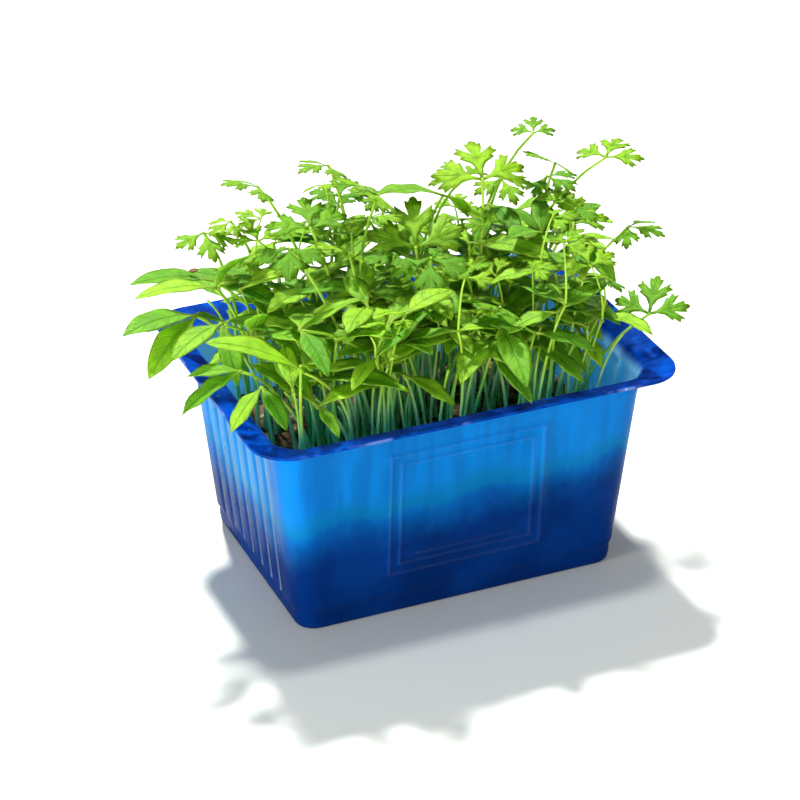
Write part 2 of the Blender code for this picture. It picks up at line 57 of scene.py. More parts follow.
FOOT_LENGTH = 0.1075
FOOT_WIDTH = 0.0775
FOOT_RADIUS = 0.0016
FOOT_CORNER = 0.0065
WALL_FOOT_LENGTH = 0.1100
WALL_FOOT_WIDTH = 0.0800
WALL_TOP_LENGTH = 0.1215
WALL_TOP_WIDTH = 0.0870
WALL_CORNER = 0.0090

# Flutes pressed into both short sides
FLUTES = 8
GROOVE_DEPTH = 0.0012
GROOVE_MOUTH = 0.0024
FLUTE_BOTTOM = 0.0085
FLUTE_TOP = 0.0640

# Plain framed panel raised on both long sides
PANEL_LENGTH = 0.0520
PANEL_HEIGHT = 0.0440
PANEL_MIDDLE = 0.0370
PANEL_RIDGE = 0.0011
PANEL_PROUD = 0.0005
PANEL_FRAME_GAP = 0.0034
PANEL_BAR_LENGTH = 0.0330
PANEL_BAR_DROP = 0.0155

# Growing substrate and the root plugs that stand in its holes
SOIL_TOP = 0.044
PLUG_COLUMNS = 8
PLUG_ROWS = 5
PLUG_PITCH_X = 0.0128
PLUG_PITCH_Y = 0.0132
PLUG_JITTER = 0.0012

# Sprouts
STEM_RADIUS = 0.00078
STEM_SIDES = 3
STEM_STEPS = 3
STEM_BOW = 0.024
STEM_SINK = 0.0025
STEM_COLLAR = 0.0008
STEM_TRIES = 60
BLADE_THICKNESS = 0.0006
LEAF_SINK = 0.0007
STEM_OVER = 0.0005
GUARD = 0.00022
BASE_RING = 0.0016
SEED = 12
FILL_PLANTS = 20
FILL_REACH_X = 50
FILL_REACH_Y = 32
FILL_HEIGHTS = (76, 104)
FILL_PITCHES = (-12, 28)
LEAF_TRIES = 24
JOINT_TRIES = 5
JOINT_NUDGE = 0.0008
LEAF_WANDER = 34.0
LEAF_SHRINK = 0.25
CLUMP_CHOICES = 16
WALL_SPARE = 0.0022
LOW_WALL_SPARE = 0.0032
LOW_WALL_RISE = 0.012
RIM_SPARE = 0.0012
CROWDING = 0.012
PULL_X = 0.68
PULL_Y = 0.74

# A seed leaf along its length: share of the length, half width as a share of the widest half width
SEED_LEAF_STATIONS = ((0.0, 0.10), (0.42, 0.97), (0.76, 0.83))
SEED_LEAF_WIDTH = 0.36
SEED_LEAF_FOLD = 0.16
SEED_LEAF_DROOP = 34.0

# Half of a true leaf's outline about its stalk: degrees from the middle lobe, reach as a share of the size
HALF_LEAF_OUTLINE = (
    (12, 0.76), (21, 0.84), (38, 0.24), (56, 0.80), (65, 0.70), (76, 0.94), (87, 0.66), (98, 0.70),
    (122, 0.16),
)
TRUE_LEAF_OUTLINE = [(-angle, reach) for angle, reach in reversed(HALF_LEAF_OUTLINE)]
TRUE_LEAF_OUTLINE += [(0, 1.0), *HALF_LEAF_OUTLINE]
TRUE_LEAF_DROOP = 0.20

# Seed-leaf pairs that give the bunch its outline, in mm and degrees:
# joint x, y, z, then heading, pitch and length of each leaf
PAIRS = (
    (-47, -38, 78, (12, 14, 25), (112, 20, 30), (-70, -20, 15)),
    (-50, -33, 88, (172, 38, 33), (45, 12, 26)),
    (-66, -24, 87, (-172, -12, 23), (170, 14, 17)),
    (-62, -31, 84, (-150, -18, 18), (-80, -16, 17)),
    (-70, 2, 94, (-162, 18, 29), (-146, -10, 28)),
    (-66, -8, 95, (-150, 6, 24), (-92, -30, 21)),
    (-62, 8, 99, (176, 14, 26), (-60, 58, 24)),
    (-58, 20, 95, (-170, 24, 31), (-62, 12, 28)),
    (-42, -22, 78, (-52, 20, 36), (30, -10, 20)),
    (-26, -8, 82, (122, 18, 32), (-65, 10, 21)),
    (-5, 4, 79, (-95, 70, 25), (-142, 6, 21)),
    (8, -24, 84, (-165, 20, 23), (-12, -40, 23)),
    (16, -30, 88, (-96, -6, 27), (14, -8, 28)),
    (11, -36, 82, (-74, -14, 21), (130, -16, 20)),
    (34, -18, 80, (-62, 2, 30), (-100, -12, 20)),
    (29, -31, 79, (-70, -4, 21), (112, -8, 18)),
    (44, -6, 81, (-54, 12, 25), (-68, -4, 25)),
    (49, -23, 78, (-84, -4, 19), (84, 14, 19)),
    (62, 18, 94, (-60, 26, 19), (30, 8, 21)),
    (64, 12, 90, (-82, -14, 23), (102, 0, 19)),
    (18, 18, 111, (-172, 26, 27), (30, -30, 20)),
    (21, 4, 100, (98, 6, 20), (-46, 12, 29)),
    (35, 20, 104, (-84, 4, 21), (-136, -8, 21)),
    (-16, -30, 78, (-52, -16, 21), (98, -6, 17)),
    (-57, -10, 90, (-64, 26, 24), (-92, 60, 20)),
    (-17, 10, 87, (118, -6, 23), (22, -9, 23)),
    (12, 14, 79, (26, -6, 24), (112, -12, 23)),
    (41, 18, 80, (20, -4, 25), (-150, 16, 22)),
)

# True leaves on long stalks: joint x, y, z, then heading and pitch of the middle lobe, and size
TRUE_LEAVES = (
    (51, 22, 125, 66, 24, 9),
    (57, 4, 100, 72, 34, 14),
    (-45, 14, 127, -172, 24, 13),
    (-32, 4, 115, 82, 22, 16),
    (-18, 24, 125, -160, 20, 12),
    (-8, 8, 120, -172, 38, 18),
    (-42, -4, 114, -112, -4, 14),
    (-60, 22, 111, -96, -14, 12),
    (-51, 22, 113, -132, -12, 12),
    (-46, 12, 110, 66, 10, 12),
    (-21, 0, 106, -160, 42, 15),
    (-10, -10, 108, -138, 0, 15),
    (-9, 14, 110, -62, 26, 14),
    (27, 8, 119, 76, 34, 18),
    (17, 3, 117, 110, 24, 15),
    (56, 16, 116, -162, 40, 13),
    (76, 20, 113, 44, 18, 14),
    (80, 10, 92, -52, 14, 13),
    (67, -30, 82, 70, 36, 17),
    (1, 0, 104, 78, 52, 20),
    (-1, -16, 108, -120, -14, 16),
    (37, 0, 92, -146, 44, 12),
    (56, 22, 109, -70, 4, 13),
    (39, 20, 112, -92, -10, 12),
    (16, -29, 94, -150, 34, 12),
    (-51, -35, 91, -70, 20, 9),
    (29, 26, 112, 98, 10, 13),
    (-12, 30, 111, 56, 18, 13),
)
MM = 0.001


def plug_places():
    """Where the clumps' root plugs stand in the substrate: a slightly uneven grid."""
    rng = random.Random(SEED)
    places = []
    for column in range(PLUG_COLUMNS):
        for row in range(PLUG_ROWS):
            x = (column - (PLUG_COLUMNS - 1) / 2) * PLUG_PITCH_X
            y = (row - (PLUG_ROWS - 1) / 2) * PLUG_PITCH_Y
            places.append((x + rng.uniform(-1, 1) * PLUG_JITTER, y + rng.uniform(-1, 1) * PLUG_JITTER))
    return places


def direction(heading, pitch):
    """A unit vector from degrees round from +X and degrees above the horizon."""
    turn, rise = radians(heading), radians(pitch)
    return Vector((cos(turn) * cos(rise), sin(turn) * cos(rise), sin(rise)))


def leaf_axes(heading, pitch):
    """Along the leaf, across it, and out of its upper face."""
    along = direction(heading, pitch)
    across = direction(heading - 90, 0)
    return along, across, across.cross(along)


def bands(rings, sides):
    """Four-sided faces between rings of points that follow each other."""
    quads = []
    for low in range(0, (rings - 1) * sides, sides):
        for i in range(sides):
            a, b = low + i, low + (i + 1) % sides
            quads.append((a, b, b + sides, a + sides))
    return quads


def closed_bands(rings, sides):
    """The same, with a face over each end."""
    last = (rings - 1) * sides
    return bands(rings, sides) + [tuple(reversed(range(sides))), tuple(range(last, last + sides))]


def tube(curve, radii, sides, sway=Vector((0, 0, 0))):
    """Rings of points about a curve, with a radius for each of its points; sway carries them aside."""
    points, last = [], len(curve) - 1
    for i, (centre, radius) in enumerate(zip(curve, radii)):
        t = i / last
        centre = centre + sway * sin(2 * pi * t) * (1 - t)
        ahead = (curve[min(i + 1, last)] - curve[max(i - 1, 0)]).normalized()
        across = ahead.cross(Vector((0.3, 1, 0))).normalized()
        other = ahead.cross(across)
        for side in range(sides):
            turn = 2 * pi * side / sides
            points.append(centre + radius * (cos(turn) * across + sin(turn) * other))
    return points


def stem_solid(curve, radius):
    """A thin closed tube along the points of a curve."""
    *quads, foot, top = closed_bands(len(curve), STEM_SIDES)
    faces = [half for a, b, c, d in quads for half in ((a, b, c), (a, c, d))]
    return tube(curve, [radius] * len(curve), STEM_SIDES), faces + [foot, top]


def seed_leaf_solid(joint, heading, pitch, length, grow=0.0):
    """A long arched seed leaf, folded a little along its rib, with its narrow stalk end in the joint."""
    half_thick = BLADE_THICKNESS / 2 + grow
    widest = SEED_LEAF_WIDTH * length / 2 + grow
    points, faces = [], []
    centre, last = Vector(joint) - direction(heading, pitch) * LEAF_SINK, 0.0
    for share, width in SEED_LEAF_STATIONS + ((1.0, 0.0),):
        along, across, out = leaf_axes(heading, pitch + SEED_LEAF_DROOP * (0.35 - share))
        centre = centre + along * length * (share - last)
        last = share
        if width == 0.0:
            points += [centre + out * half_thick * 0.7, centre - out * half_thick * 0.7]
            break
        half = max(widest * width, half_thick)
        lift = out * half * SEED_LEAF_FOLD
        for face in (half_thick, -half_thick):
            points += [centre - across * half + lift + out * face, centre + out * face]
            points += [centre + across * half + lift + out * face]
    for a in range(0, (len(SEED_LEAF_STATIONS) - 1) * 6, 6):
        b = a + 6
        faces += [(a, a + 1, b + 1), (a, b + 1, b), (a + 1, a + 2, b + 2), (a + 1, b + 2, b + 1)]
        faces += [(a + 3, b + 4, a + 4), (a + 3, b + 3, b + 4), (a + 4, b + 5, a + 5), (a + 4, b + 4, b + 5)]
        faces += [(a + 2, a + 5, b + 5), (a + 2, b + 5, b + 2), (a, b, b + 3), (a, b + 3, a + 3)]
    a = (len(SEED_LEAF_STATIONS) - 1) * 6
    tip, under = a + 6, a + 7
    faces += [(a, a + 1, tip), (a + 1, a + 2, tip), (a + 4, a + 3, under), (a + 5, a + 4, under)]
    faces += [(a + 2, a + 5, under, tip), (a + 3, a, tip, under)]
    faces += [(1, 0, 3, 4), (2, 1, 4, 5)]
    return points, faces


def true_leaf_solid(joint, heading, pitch, size, grow=0.0):
    """A three-lobed toothed blade, arched down towards its lobes' tips."""
    along, across, out = leaf_axes(heading, pitch)
    half_thick = BLADE_THICKNESS / 2 + grow
    back = Vector(joint) - along * (0.05 * size + grow)
    rim = []
    for angle, reach in TRUE_LEAF_OUTLINE:
        turn, far = radians(angle), reach * size + grow
        flat = along * cos(turn) * far + across * sin(turn) * far
        rim.append(Vector(joint) + flat - out * TRUE_LEAF_DROOP * size * reach * reach)
    points = []
    for face in (half_thick, -half_thick):
        points += [back + out * face] + [point + out * face for point in rim]
    under = len(rim) + 1
    faces = []
    for i in range(1, len(rim)):
        faces += [(0, i + 1, i), (under, under + i, under + i + 1)]
    loop = list(range(len(rim) + 1))
    for i, j in zip(loop, loop[1:] + loop[:1]):
        faces += [(i, j, under + j), (i, under + j, under + i)]
    return points, faces


def stem_curve(foot, joint, bow, steps=STEM_STEPS):
    """Straight up out of the plug first, then leaning over to the joint; bow pushes its middle aside."""
    collar = foot + Vector((0, 0, STEM_SINK + STEM_COLLAR))
    rise = Vector(((joint.x - foot.x) * 0.14, (joint.y - foot.y) * 0.14, (joint.z - collar.z) * 0.70))
    lift = collar + rise + bow
    shares = [i / steps for i in range(steps + 1)]
    curve = [collar * (1 - t) ** 2 + lift * 2 * t * (1 - t) + joint * t * t for t in shares]
    curve[-1] = curve[-1] + (joint - lift).normalized() * STEM_OVER
    return [foot] + curve


def clears_tray(points):
    """True where no point comes near the wall, or near the rim from above or below."""
    for point in points:
        spare = LOW_WALL_SPARE if point.z < SOIL_TOP + LOW_WALL_RISE else WALL_SPARE
        outside_x = abs(point.x) > RIM_LENGTH / 2 - FLANGE_WIDTH - spare
        outside_y = abs(point.y) > RIM_WIDTH / 2 - FLANGE_WIDTH - spare
        if point.z < RIM_HEIGHT + RIM_SPARE and (outside_x or outside_y):
            return False
    return True


def meets(tree, owner, taken):
    """True where a shape touches one that another plant has taken."""
    return any(other_owner != owner and tree.overlap(other) for other_owner, other in taken)


def settle_leaf(make_solid, asked, taken, rng):
    """Turns, tilts and shortens a leaf little by little until no other plant's leaf is in its way."""
    joint, heading, pitch, length = asked
    for attempt in range(LEAF_TRIES):
        loose = LEAF_WANDER * attempt / LEAF_TRIES
        turn, tilt = rng.uniform(-1, 1) * loose, rng.uniform(-1, 1) * loose * 0.6
        facts = (joint, heading + turn, pitch + tilt, length * (1.0 - LEAF_SHRINK * attempt / LEAF_TRIES))
        points, faces = make_solid(*facts, GUARD)
        tree = BVHTree.FromPolygons(points, faces)
        if clears_tray(points) and not meets(tree, None, taken):
            return facts, tree
    return None, None


def asked_plants():
    """Each plant as (joint, seed leaves, true leaf): the listed ones, then seeded ones between them."""
    plants = []
    for x, y, z, *leaves in PAIRS:
        plants.append((Vector((x, y, z)) * MM, leaves, None))
    for x, y, z, heading, pitch, size in TRUE_LEAVES:
        plants.append((Vector((x, y, z)) * MM, [], (heading, pitch, size)))
    rng = random.Random(SEED + 1)
    for number in range(FILL_PLANTS):
        x = (number * 0.618 % 1 - 0.5) * 2 * FILL_REACH_X
        y = ((number + 0.5) / FILL_PLANTS - 0.5) * 2 * FILL_REACH_Y
        heading = rng.uniform(-180, 180)
        joint = Vector((x + rng.uniform(-3, 3), y + rng.uniform(-3, 3), rng.uniform(*FILL_HEIGHTS))) * MM
        first = (heading, rng.uniform(*FILL_PITCHES), rng.uniform(20, 27))
        second = (heading + rng.uniform(140, 220), rng.uniform(*FILL_PITCHES), rng.uniform(18, 25))
        plants.append((joint, [first, second], None))
    return plants


def place_leaves(rng, taken):
    """Each plant's joint and its leaves, as (kind, joint, heading, pitch, length), clear of all the others.
    Where a plant's leaves don't all fit about its joint, the whole plant is tried a little to the side."""
    plants = []
    for plant, (joint, leaves, true_leaf) in enumerate(asked_plants()):
        asked = [("seed leaf", *leaf) for leaf in leaves]
        if true_leaf:
            asked.append(("true leaf", *true_leaf))
        best, best_trees = [], []
        for nudge in range(JOINT_TRIES):
            aside = Vector((rng.uniform(-1, 1), rng.uniform(-1, 1), rng.uniform(-1, 1))) * JOINT_NUDGE * nudge
            trees, kept = [], []
            for kind, heading, pitch, length in asked:
                make_solid = seed_leaf_solid if kind == "seed leaf" else true_leaf_solid
                wanted = (joint + aside, heading, pitch, length * MM)
                facts, tree = settle_leaf(make_solid, wanted, taken, rng)
                if facts:
                    kept.append((kind, *facts))
                    trees.append((plant, tree))
            if len(kept) > len(best):
                best, best_trees = kept, trees
            if len(best) == len(asked):
                break
        taken += best_trees
        plants.append(best)
    return plants


def root_plant(plant, joint, places, counts, taken_leaves, taken_stems, rng):
    """The clump and the stem (foot, joint, bow) that reach a joint without crossing another, or None."""
    pulled = Vector((joint.x * PULL_X, joint.y * PULL_Y))
    order = sorted(
        range(len(places)), key=lambda i: (Vector(places[i]) - pulled).length + counts[i] * CROWDING
    )
    for clump in order[:CLUMP_CHOICES]:
        spot = radians(137.5) * counts[clump] + clump
        x, y = places[clump]
        foot = Vector((x + BASE_RING * cos(spot), y + BASE_RING * sin(spot), SOIL_TOP - STEM_SINK))
        for attempt in range(STEM_TRIES):
            loose = STEM_BOW * attempt / STEM_TRIES
            bow = Vector((rng.uniform(-1, 1), rng.uniform(-1, 1), 0)) * loose
            points, faces = stem_solid(stem_curve(foot, joint, bow), STEM_RADIUS + GUARD)
            tree = BVHTree.FromPolygons(points, faces)
            if not clears_tray(points):
                continue
            if meets(tree, plant, taken_leaves) or meets(tree, None, taken_stems):
                continue
            taken_stems.append((clump, tree))
            counts[clump] += 1
            return clump, (foot, joint, bow)
    return None


def plan_clumps(places):
    """What grows from each root plug, as lists of (kind, facts), none of it crossing another clump's."""
    rng = random.Random(SEED + 2)
    clumps, counts = [[] for _ in places], [0] * len(places)
    taken_leaves, taken_stems = [], []
    for plant, leaves in enumerate(place_leaves(rng, taken_leaves)):
        if not leaves:
            continue
        rooted = root_plant(plant, leaves[0][1], places, counts, taken_leaves, taken_stems, rng)
        if not rooted:
            taken_leaves = [entry for entry in taken_leaves if entry[0] != plant]
            continue
        clump, stem = rooted
        clumps[clump].append(("stem", *stem))
        clumps[clump] += leaves
    return clumps


# Fine leaves and stems
LEAF_ROWS = 12
LEAF_COLUMNS = 6
LEAF_DROOP_START = 0.17
LEAF_HALF_WIDTH = (
    (0.0, 0.15), (0.09, 0.13), (0.15, 0.24), (0.23, 0.53), (0.32, 0.82), (0.41, 0.97), (0.49, 1.0),
    (0.60, 0.95), (0.70, 0.83), (0.80, 0.64), (0.88, 0.43), (0.95, 0.20), (1.0, 0.0),
)
LEAF_HALF_THICKNESS = ((0.0, 0.00042), (0.16, 0.00034), (0.4, 0.00020), (1.0, 0.00013))
LEAF_LEAST_HALF = 0.0004
LEAF_QUILT = 0.00012
LEAF_VEINS = 6.5
VEIN_SLANT = 1.2
# Half of one leaflet's outline, tip to base: along, across, and 1 at the teeth's tips to 0 in the notches
LEAFLET_OUTLINE = (
    (1.00, 0.00, 1.0), (0.95, 0.06, 0.6), (0.88, 0.08, 0.2), (0.90, 0.15, 0.9), (0.78, 0.14, 0.3),
    (0.60, 0.09, 0.0), (0.72, 0.22, 0.6), (0.82, 0.33, 1.0), (0.71, 0.31, 0.3), (0.66, 0.40, 0.9),
    (0.54, 0.27, 0.3), (0.50, 0.32, 0.7), (0.36, 0.13, 0.4), (0.20, 0.045, 0.4), (0.00, 0.03, 0.6),
)
LEAFLET_HUB = 0.45
LEAFLETS = ((0.0, 1.0), (-69.0, 0.90), (69.0, 0.90))
FINE_STEM_SIDES = 7
FINE_STEM_STEPS = 9
STEM_SWAY = 0.0005
EXTRA_PLANTS = 104
EXTRA_STEMS = 110
EXTRA_TRUE_LEAVES = 0.36
EXTRA_HEIGHTS = (72, 104, 84)
EXTRA_PITCHES = (0, 36)
EXTRA_LENGTHS = (16, 25)
BARE_STEM_HEIGHTS = (66, 75)
EXTRA_REACH_X = 0.072
EXTRA_REACH_Y = 0.047
EXTRA_FOOT_X = 51
EXTRA_FOOT_Y = 33
EXTRA_JOINT_X = 0.0545
EXTRA_JOINT_Y = 0.036
# A joint this far out stands above the rim, so that its leaves pass over it
OUTER_JOINT_X = 0.046
OUTER_JOINT_Y = 0.028
OUTER_JOINT_HEIGHT = 0.080
# Places of a bunch's materials in its list
STEM_FINISH, SEED_LEAF_FINISH, TRUE_LEAF_FINISH = 0, 1, 2


def blend_table(table, t):
    """The value at t on a table of (t, value) pairs, with straight lines between them."""
    for (t0, v0), (t1, v1) in zip(table, table[1:]):
        if t <= t1:
            return v0 + (v1 - v0) * (t - t0) / (t1 - t0)
    return table[-1][1]


def new_mesh(name, points, faces, materials):
    mesh = bpy.data.meshes.new(name)
    mesh.from_pydata(points, [], faces)
    for material in materials:
        mesh.materials.append(material)
    return mesh


def put_in_scene(name, data):
    """An object for a mesh, a light or the camera."""
    thing = bpy.data.objects.new(name, data)
    bpy.context.scene.collection.objects.link(thing)
    return thing


class Bunch:
    """Gathers points, faces, their finishes and the leaf facts that the materials read."""

    def __init__(self):
        self.points, self.faces, self.finishes, self.facts = [], [], [], []

    def add(self, points, faces, finish, facts):
        start = len(self.points)
        self.points += points
        self.faces += [tuple(start + i for i in face) for face in faces]
        self.finishes += [finish] * len(faces)
        self.facts += facts

    def make(self, name, materials):
        mesh = new_mesh(name, self.points, self.faces, materials)
        mesh.polygons.foreach_set("material_index", self.finishes)
        blade = mesh.attributes.new("blade", "FLOAT_VECTOR", "POINT")
        blade.data.foreach_set("vector", [value for fact in self.facts for value in fact])
        body = bmesh.new()
        body.from_mesh(mesh)
        bmesh.ops.recalc_face_normals(body, faces=body.faces)
        body.to_mesh(mesh)
        body.free()
        mesh.shade_smooth()
        return put_in_scene(name, mesh)


def add_stem(bunch, foot, top, bow, rng, thick=1.0):
    """A round stem that thins towards its joint and swells a little at it."""
    curve = stem_curve(foot, top, bow, FINE_STEM_STEPS)
    tint = rng.random()
    sway = Vector((rng.uniform(-1, 1), rng.uniform(-1, 1), 0)) * STEM_SWAY
    shares = [i / (len(curve) - 1) for i in range(len(curve))]
    radii = [STEM_RADIUS * thick * (0.84 - 0.32 * t + 0.9 * max(0.0, t - 0.92)) for t in shares]
    facts = [(t, 0.0, tint) for t in shares for _ in range(FINE_STEM_SIDES)]
    points = tube(curve, radii, FINE_STEM_SIDES, sway)
    bunch.add(points, closed_bands(len(curve), FINE_STEM_SIDES), STEM_FINISH, facts)


def add_seed_leaf(bunch, joint, heading, pitch, length, rng):
    """A seed leaf: stalk, pointed blade folded on its rib, waved margin, slight quilting by its veins."""
    widest = SEED_LEAF_WIDTH * length / 2
    twist = radians(rng.uniform(-16, 16))
    phase, wave = rng.uniform(0, 6.28), rng.uniform(0.0001, 0.0005)
    tint = rng.random()
    centre = Vector(joint) - direction(heading, pitch) * LEAF_SINK
    points, faces, facts, rows = [], [], [], []
    for row in range(LEAF_ROWS + 1):
        t = row / LEAF_ROWS
        along, across, out = leaf_axes(heading, pitch + SEED_LEAF_DROOP * (LEAF_DROOP_START - t))
        if row:
            centre = centre + along * length / LEAF_ROWS
        turned = across * cos(twist * t) + out * sin(twist * t)
        out = turned.cross(along)
        if row == LEAF_ROWS:
            points.append(centre)
            facts.append((1.0, 0.0, tint))
            rows.append([len(points) - 1])
            break
        half = max(widest * blend_table(LEAF_HALF_WIDTH, t), LEAF_LEAST_HALF)
        thick = blend_table(LEAF_HALF_THICKNESS, t)
        upper, lower = [], []
        for column in range(LEAF_COLUMNS + 1):
            s = 2 * column / LEAF_COLUMNS - 1
            open_blade = min(1.0, max(0.0, (t - 0.25) * 6))
            rise = half * SEED_LEAF_FOLD * abs(s)
            rise += wave * s * s * sin(14 * t + phase + (2 if s > 0 else 0)) * open_blade
            quilt = cos(2 * pi * (t * LEAF_VEINS - abs(s) * VEIN_SLANT))
            rise += LEAF_QUILT * quilt * (1 - s * s) * open_blade
            middle = centre + turned * half * s + out * rise
            swell = thick * (1 - s * s) ** 0.7
            points.append(middle + out * swell)
            facts.append((t, s, tint))
            upper.append(len(points) - 1)
            if 0 < column < LEAF_COLUMNS:
                points.append(middle - out * swell)
                facts.append((t, s, tint))
                lower.append(len(points) - 1)
        rows.append(upper + lower[::-1])
    ring = len(rows[0])
    for low, high in zip(rows, rows[1:]):
        for i in range(ring):
            j = (i + 1) % ring
            if len(high) == 1:
                faces.append((low[i], low[j], high[0]))
            else:
                faces.append((low[i], low[j], high[j], high[i]))
    faces.append(tuple(reversed(rows[0])))
    bunch.add(points, faces, SEED_LEAF_FINISH, facts)


def add_true_leaf(bunch, joint, heading, pitch, size, rng):
    """A young divided leaf: three leaflets, each lobed and toothed and pleated along its veins."""
    along, across, out = leaf_axes(heading, pitch)
    tint = rng.random()
    mirrored = [(u, -v, tip) for u, v, tip in reversed(LEAFLET_OUTLINE[1:])]
    outline = mirrored + list(LEAFLET_OUTLINE)
    count = len(outline)
    for middle_angle, share in LEAFLETS:
        length = size * share
        turn = radians(middle_angle + rng.uniform(-6, 6))
        ahead = along * cos(turn) + across * sin(turn)
        aside = across * cos(turn) - along * sin(turn)
        fold = rng.uniform(0.02, 0.14)
        curl = rng.uniform(-0.08, 0.12)

        def place(u, v, pleat, side):
            """A point of the leaflet's face at u along and v across it, in leaflet lengths."""
            reach = hypot(u, v) * share
            drop = TRUE_LEAF_DROOP * size * reach * reach + curl * length * u * u
            lift = (fold * abs(v) + pleat * 0.03) * length
            flat = ahead * u * length + aside * v * length
            return Vector(joint) + flat + out * (lift - drop + side * 0.00015)

        points, facts, faces = [], [], []
        for side in (1, -1):
            points.append(place(LEAFLET_HUB, 0, 0, side * 1.3))
            facts.append((LEAFLET_HUB, 1.0, tint))
            for u, v, tip in outline:
                points.append(place((u + LEAFLET_HUB) / 2, v / 2, 0.5 - tip, side))
                facts.append((LEAFLET_HUB, tip, tint))
        rim = len(points)
        for u, v, tip in outline:
            points.append(place(u, v, 0.3 - tip * 0.6, 0))
            facts.append((1.0, tip, tint))
        for side in (0, 1):
            hub = side * (count + 1)
            for i in range(count):
                j = (i + 1) % count
                a, b = hub + 1 + i, hub + 1 + j
                faces += [(hub, a, b), (a, rim + i, rim + j, b)]
        bunch.add(points, faces, TRUE_LEAF_FINISH, facts)


def inside_box(joint, heading, pitch, length):
    """Turns a leaf's heading inwards where its tip would pass the solids' own reach."""
    tip = joint + direction(heading, pitch) * length
    if abs(tip.y) > EXTRA_REACH_Y:
        heading = -heading
    if abs(tip.x) > EXTRA_REACH_X:
        heading = 180 - heading
    return heading


def extra_plants(places):
    """Plants between the solids' own, as (clump, foot, joint, seed leaves, size of the true leaf or 0)."""
    rng = random.Random(SEED + 5)
    plants = []
    for number in range(EXTRA_PLANTS + EXTRA_STEMS):
        x, y = rng.uniform(-EXTRA_FOOT_X, EXTRA_FOOT_X) * MM, rng.uniform(-EXTRA_FOOT_Y, EXTRA_FOOT_Y) * MM
        foot = Vector((x, y, SOIL_TOP - 0.002))
        leafy = number < EXTRA_PLANTS
        height = (rng.triangular(*EXTRA_HEIGHTS) if leafy else rng.uniform(*BARE_STEM_HEIGHTS)) * MM
        lean = Vector((x * 0.10 + rng.uniform(-4, 4) * MM, y * 0.12 + rng.uniform(-4, 4) * MM, 0))
        joint = Vector((x, y, height)) + lean
        joint.x = max(-EXTRA_JOINT_X, min(EXTRA_JOINT_X, joint.x))
        joint.y = max(-EXTRA_JOINT_Y, min(EXTRA_JOINT_Y, joint.y))
        if abs(joint.x) > OUTER_JOINT_X or abs(joint.y) > OUTER_JOINT_Y:
            joint.z = max(joint.z, OUTER_JOINT_HEIGHT)
        heading = rng.uniform(-180, 180)
        leaves = []
        if leafy:
            for turn in (0, rng.uniform(140, 220)):
                pitch, length = rng.uniform(*EXTRA_PITCHES), rng.uniform(*EXTRA_LENGTHS) * MM
                leaves.append((inside_box(joint, heading + turn, pitch, length), pitch, length))
        true_leaf = rng.uniform(8, 12) * MM if leafy and rng.random() < EXTRA_TRUE_LEAVES else 0
        clump = min(range(len(places)), key=lambda i: (Vector(places[i]) - Vector((x, y))).length)
        plants.append((clump, foot, joint, leaves, true_leaf))
    return plants


class Finish:
    """A node tree in the making, with short ways to add its nodes and join them."""

    def __init__(self, tree):
        self.tree = tree

    def feed(self, socket, value):
        """Joins a socket to another one, or sets it to a plain number or colour."""
        if isinstance(value, bpy.types.NodeSocket):
            self.tree.links.new(value, socket)
        else:
            socket.default_value = (*value, 1.0) if socket.type == "RGBA" else value

    def node(self, kind, **values):
        """A new node; each name is that of an input, with _ for its spaces."""
        node = self.tree.nodes.new("ShaderNode" + kind)
        for name, value in values.items():
            self.feed(node.inputs[name.replace("_", " ")], value)
        return node

    def math(self, operation, *values):
        node = self.node("Math")
        node.operation = operation
        for socket, value in zip(node.inputs, values):
            self.feed(socket, value)
        return node.outputs[0]

    def times(self, first, second):
        return self.math("MULTIPLY", first, second)

    def ramp(self, value, low, high, to_low=0.0, to_high=1.0):
        """A smooth step that carries low to to_low and high to to_high."""
        ends = {"From_Min": low, "From_Max": high, "To_Min": to_low, "To_Max": to_high}
        node = self.node("MapRange", Value=value, **ends)
        node.interpolation_type = "SMOOTHSTEP"
        return node.outputs["Result"]

    def blend(self, share, first, second):
        """A mix of two colours."""
        node = self.node("Mix")
        node.data_type = "RGBA"
        self.feed(node.inputs["Factor"], share)
        for name, colour in (("A", first), ("B", second)):
            socket = next(item for item in node.inputs if item.name == name and item.type == "RGBA")
            self.feed(socket, colour)
        return next(item for item in node.outputs if item.type == "RGBA")

    def noise(self, place, scale, detail=3.0, roughness=0.55):
        node = self.node("TexNoise", Vector=place, Scale=scale, Detail=detail, Roughness=roughness)
        return node.outputs["Fac"]

    def place(self):
        return self.node("TexCoord").outputs["Object"]

    def split(self, vector):
        return self.node("SeparateXYZ", Vector=vector).outputs

    def attribute(self, name):
        """The three numbers of one of the mesh's attributes."""
        node = self.node("Attribute")
        node.attribute_name = name
        return self.split(node.outputs["Vector"])


def speckle_group():
    """Fine uneven patches shared by the living and the moulded finishes."""
    group = bpy.data.node_groups.new("uneven patches", "ShaderNodeTree")
    scale = group.interface.new_socket("Patch Scale", in_out="INPUT", socket_type="NodeSocketFloat")
    scale.default_value = 400.0
    for name in ("Patches", "Grain"):
        group.interface.new_socket(name, in_out="OUTPUT", socket_type="NodeSocketFloat")
    inside = group.nodes.new("NodeGroupInput").outputs["Patch Scale"]
    outside = group.nodes.new("NodeGroupOutput").inputs
    speckles = Finish(group)
    place = speckles.place()
    speckles.feed(outside["Patches"], speckles.ramp(speckles.noise(place, inside, 3.0, 0.5), 0.32, 0.68))
    speckles.feed(outside["Grain"], speckles.noise(place, speckles.times(inside, 9.0), 2.0, 0.5))
    return group


UNEVEN_PATCHES = speckle_group()


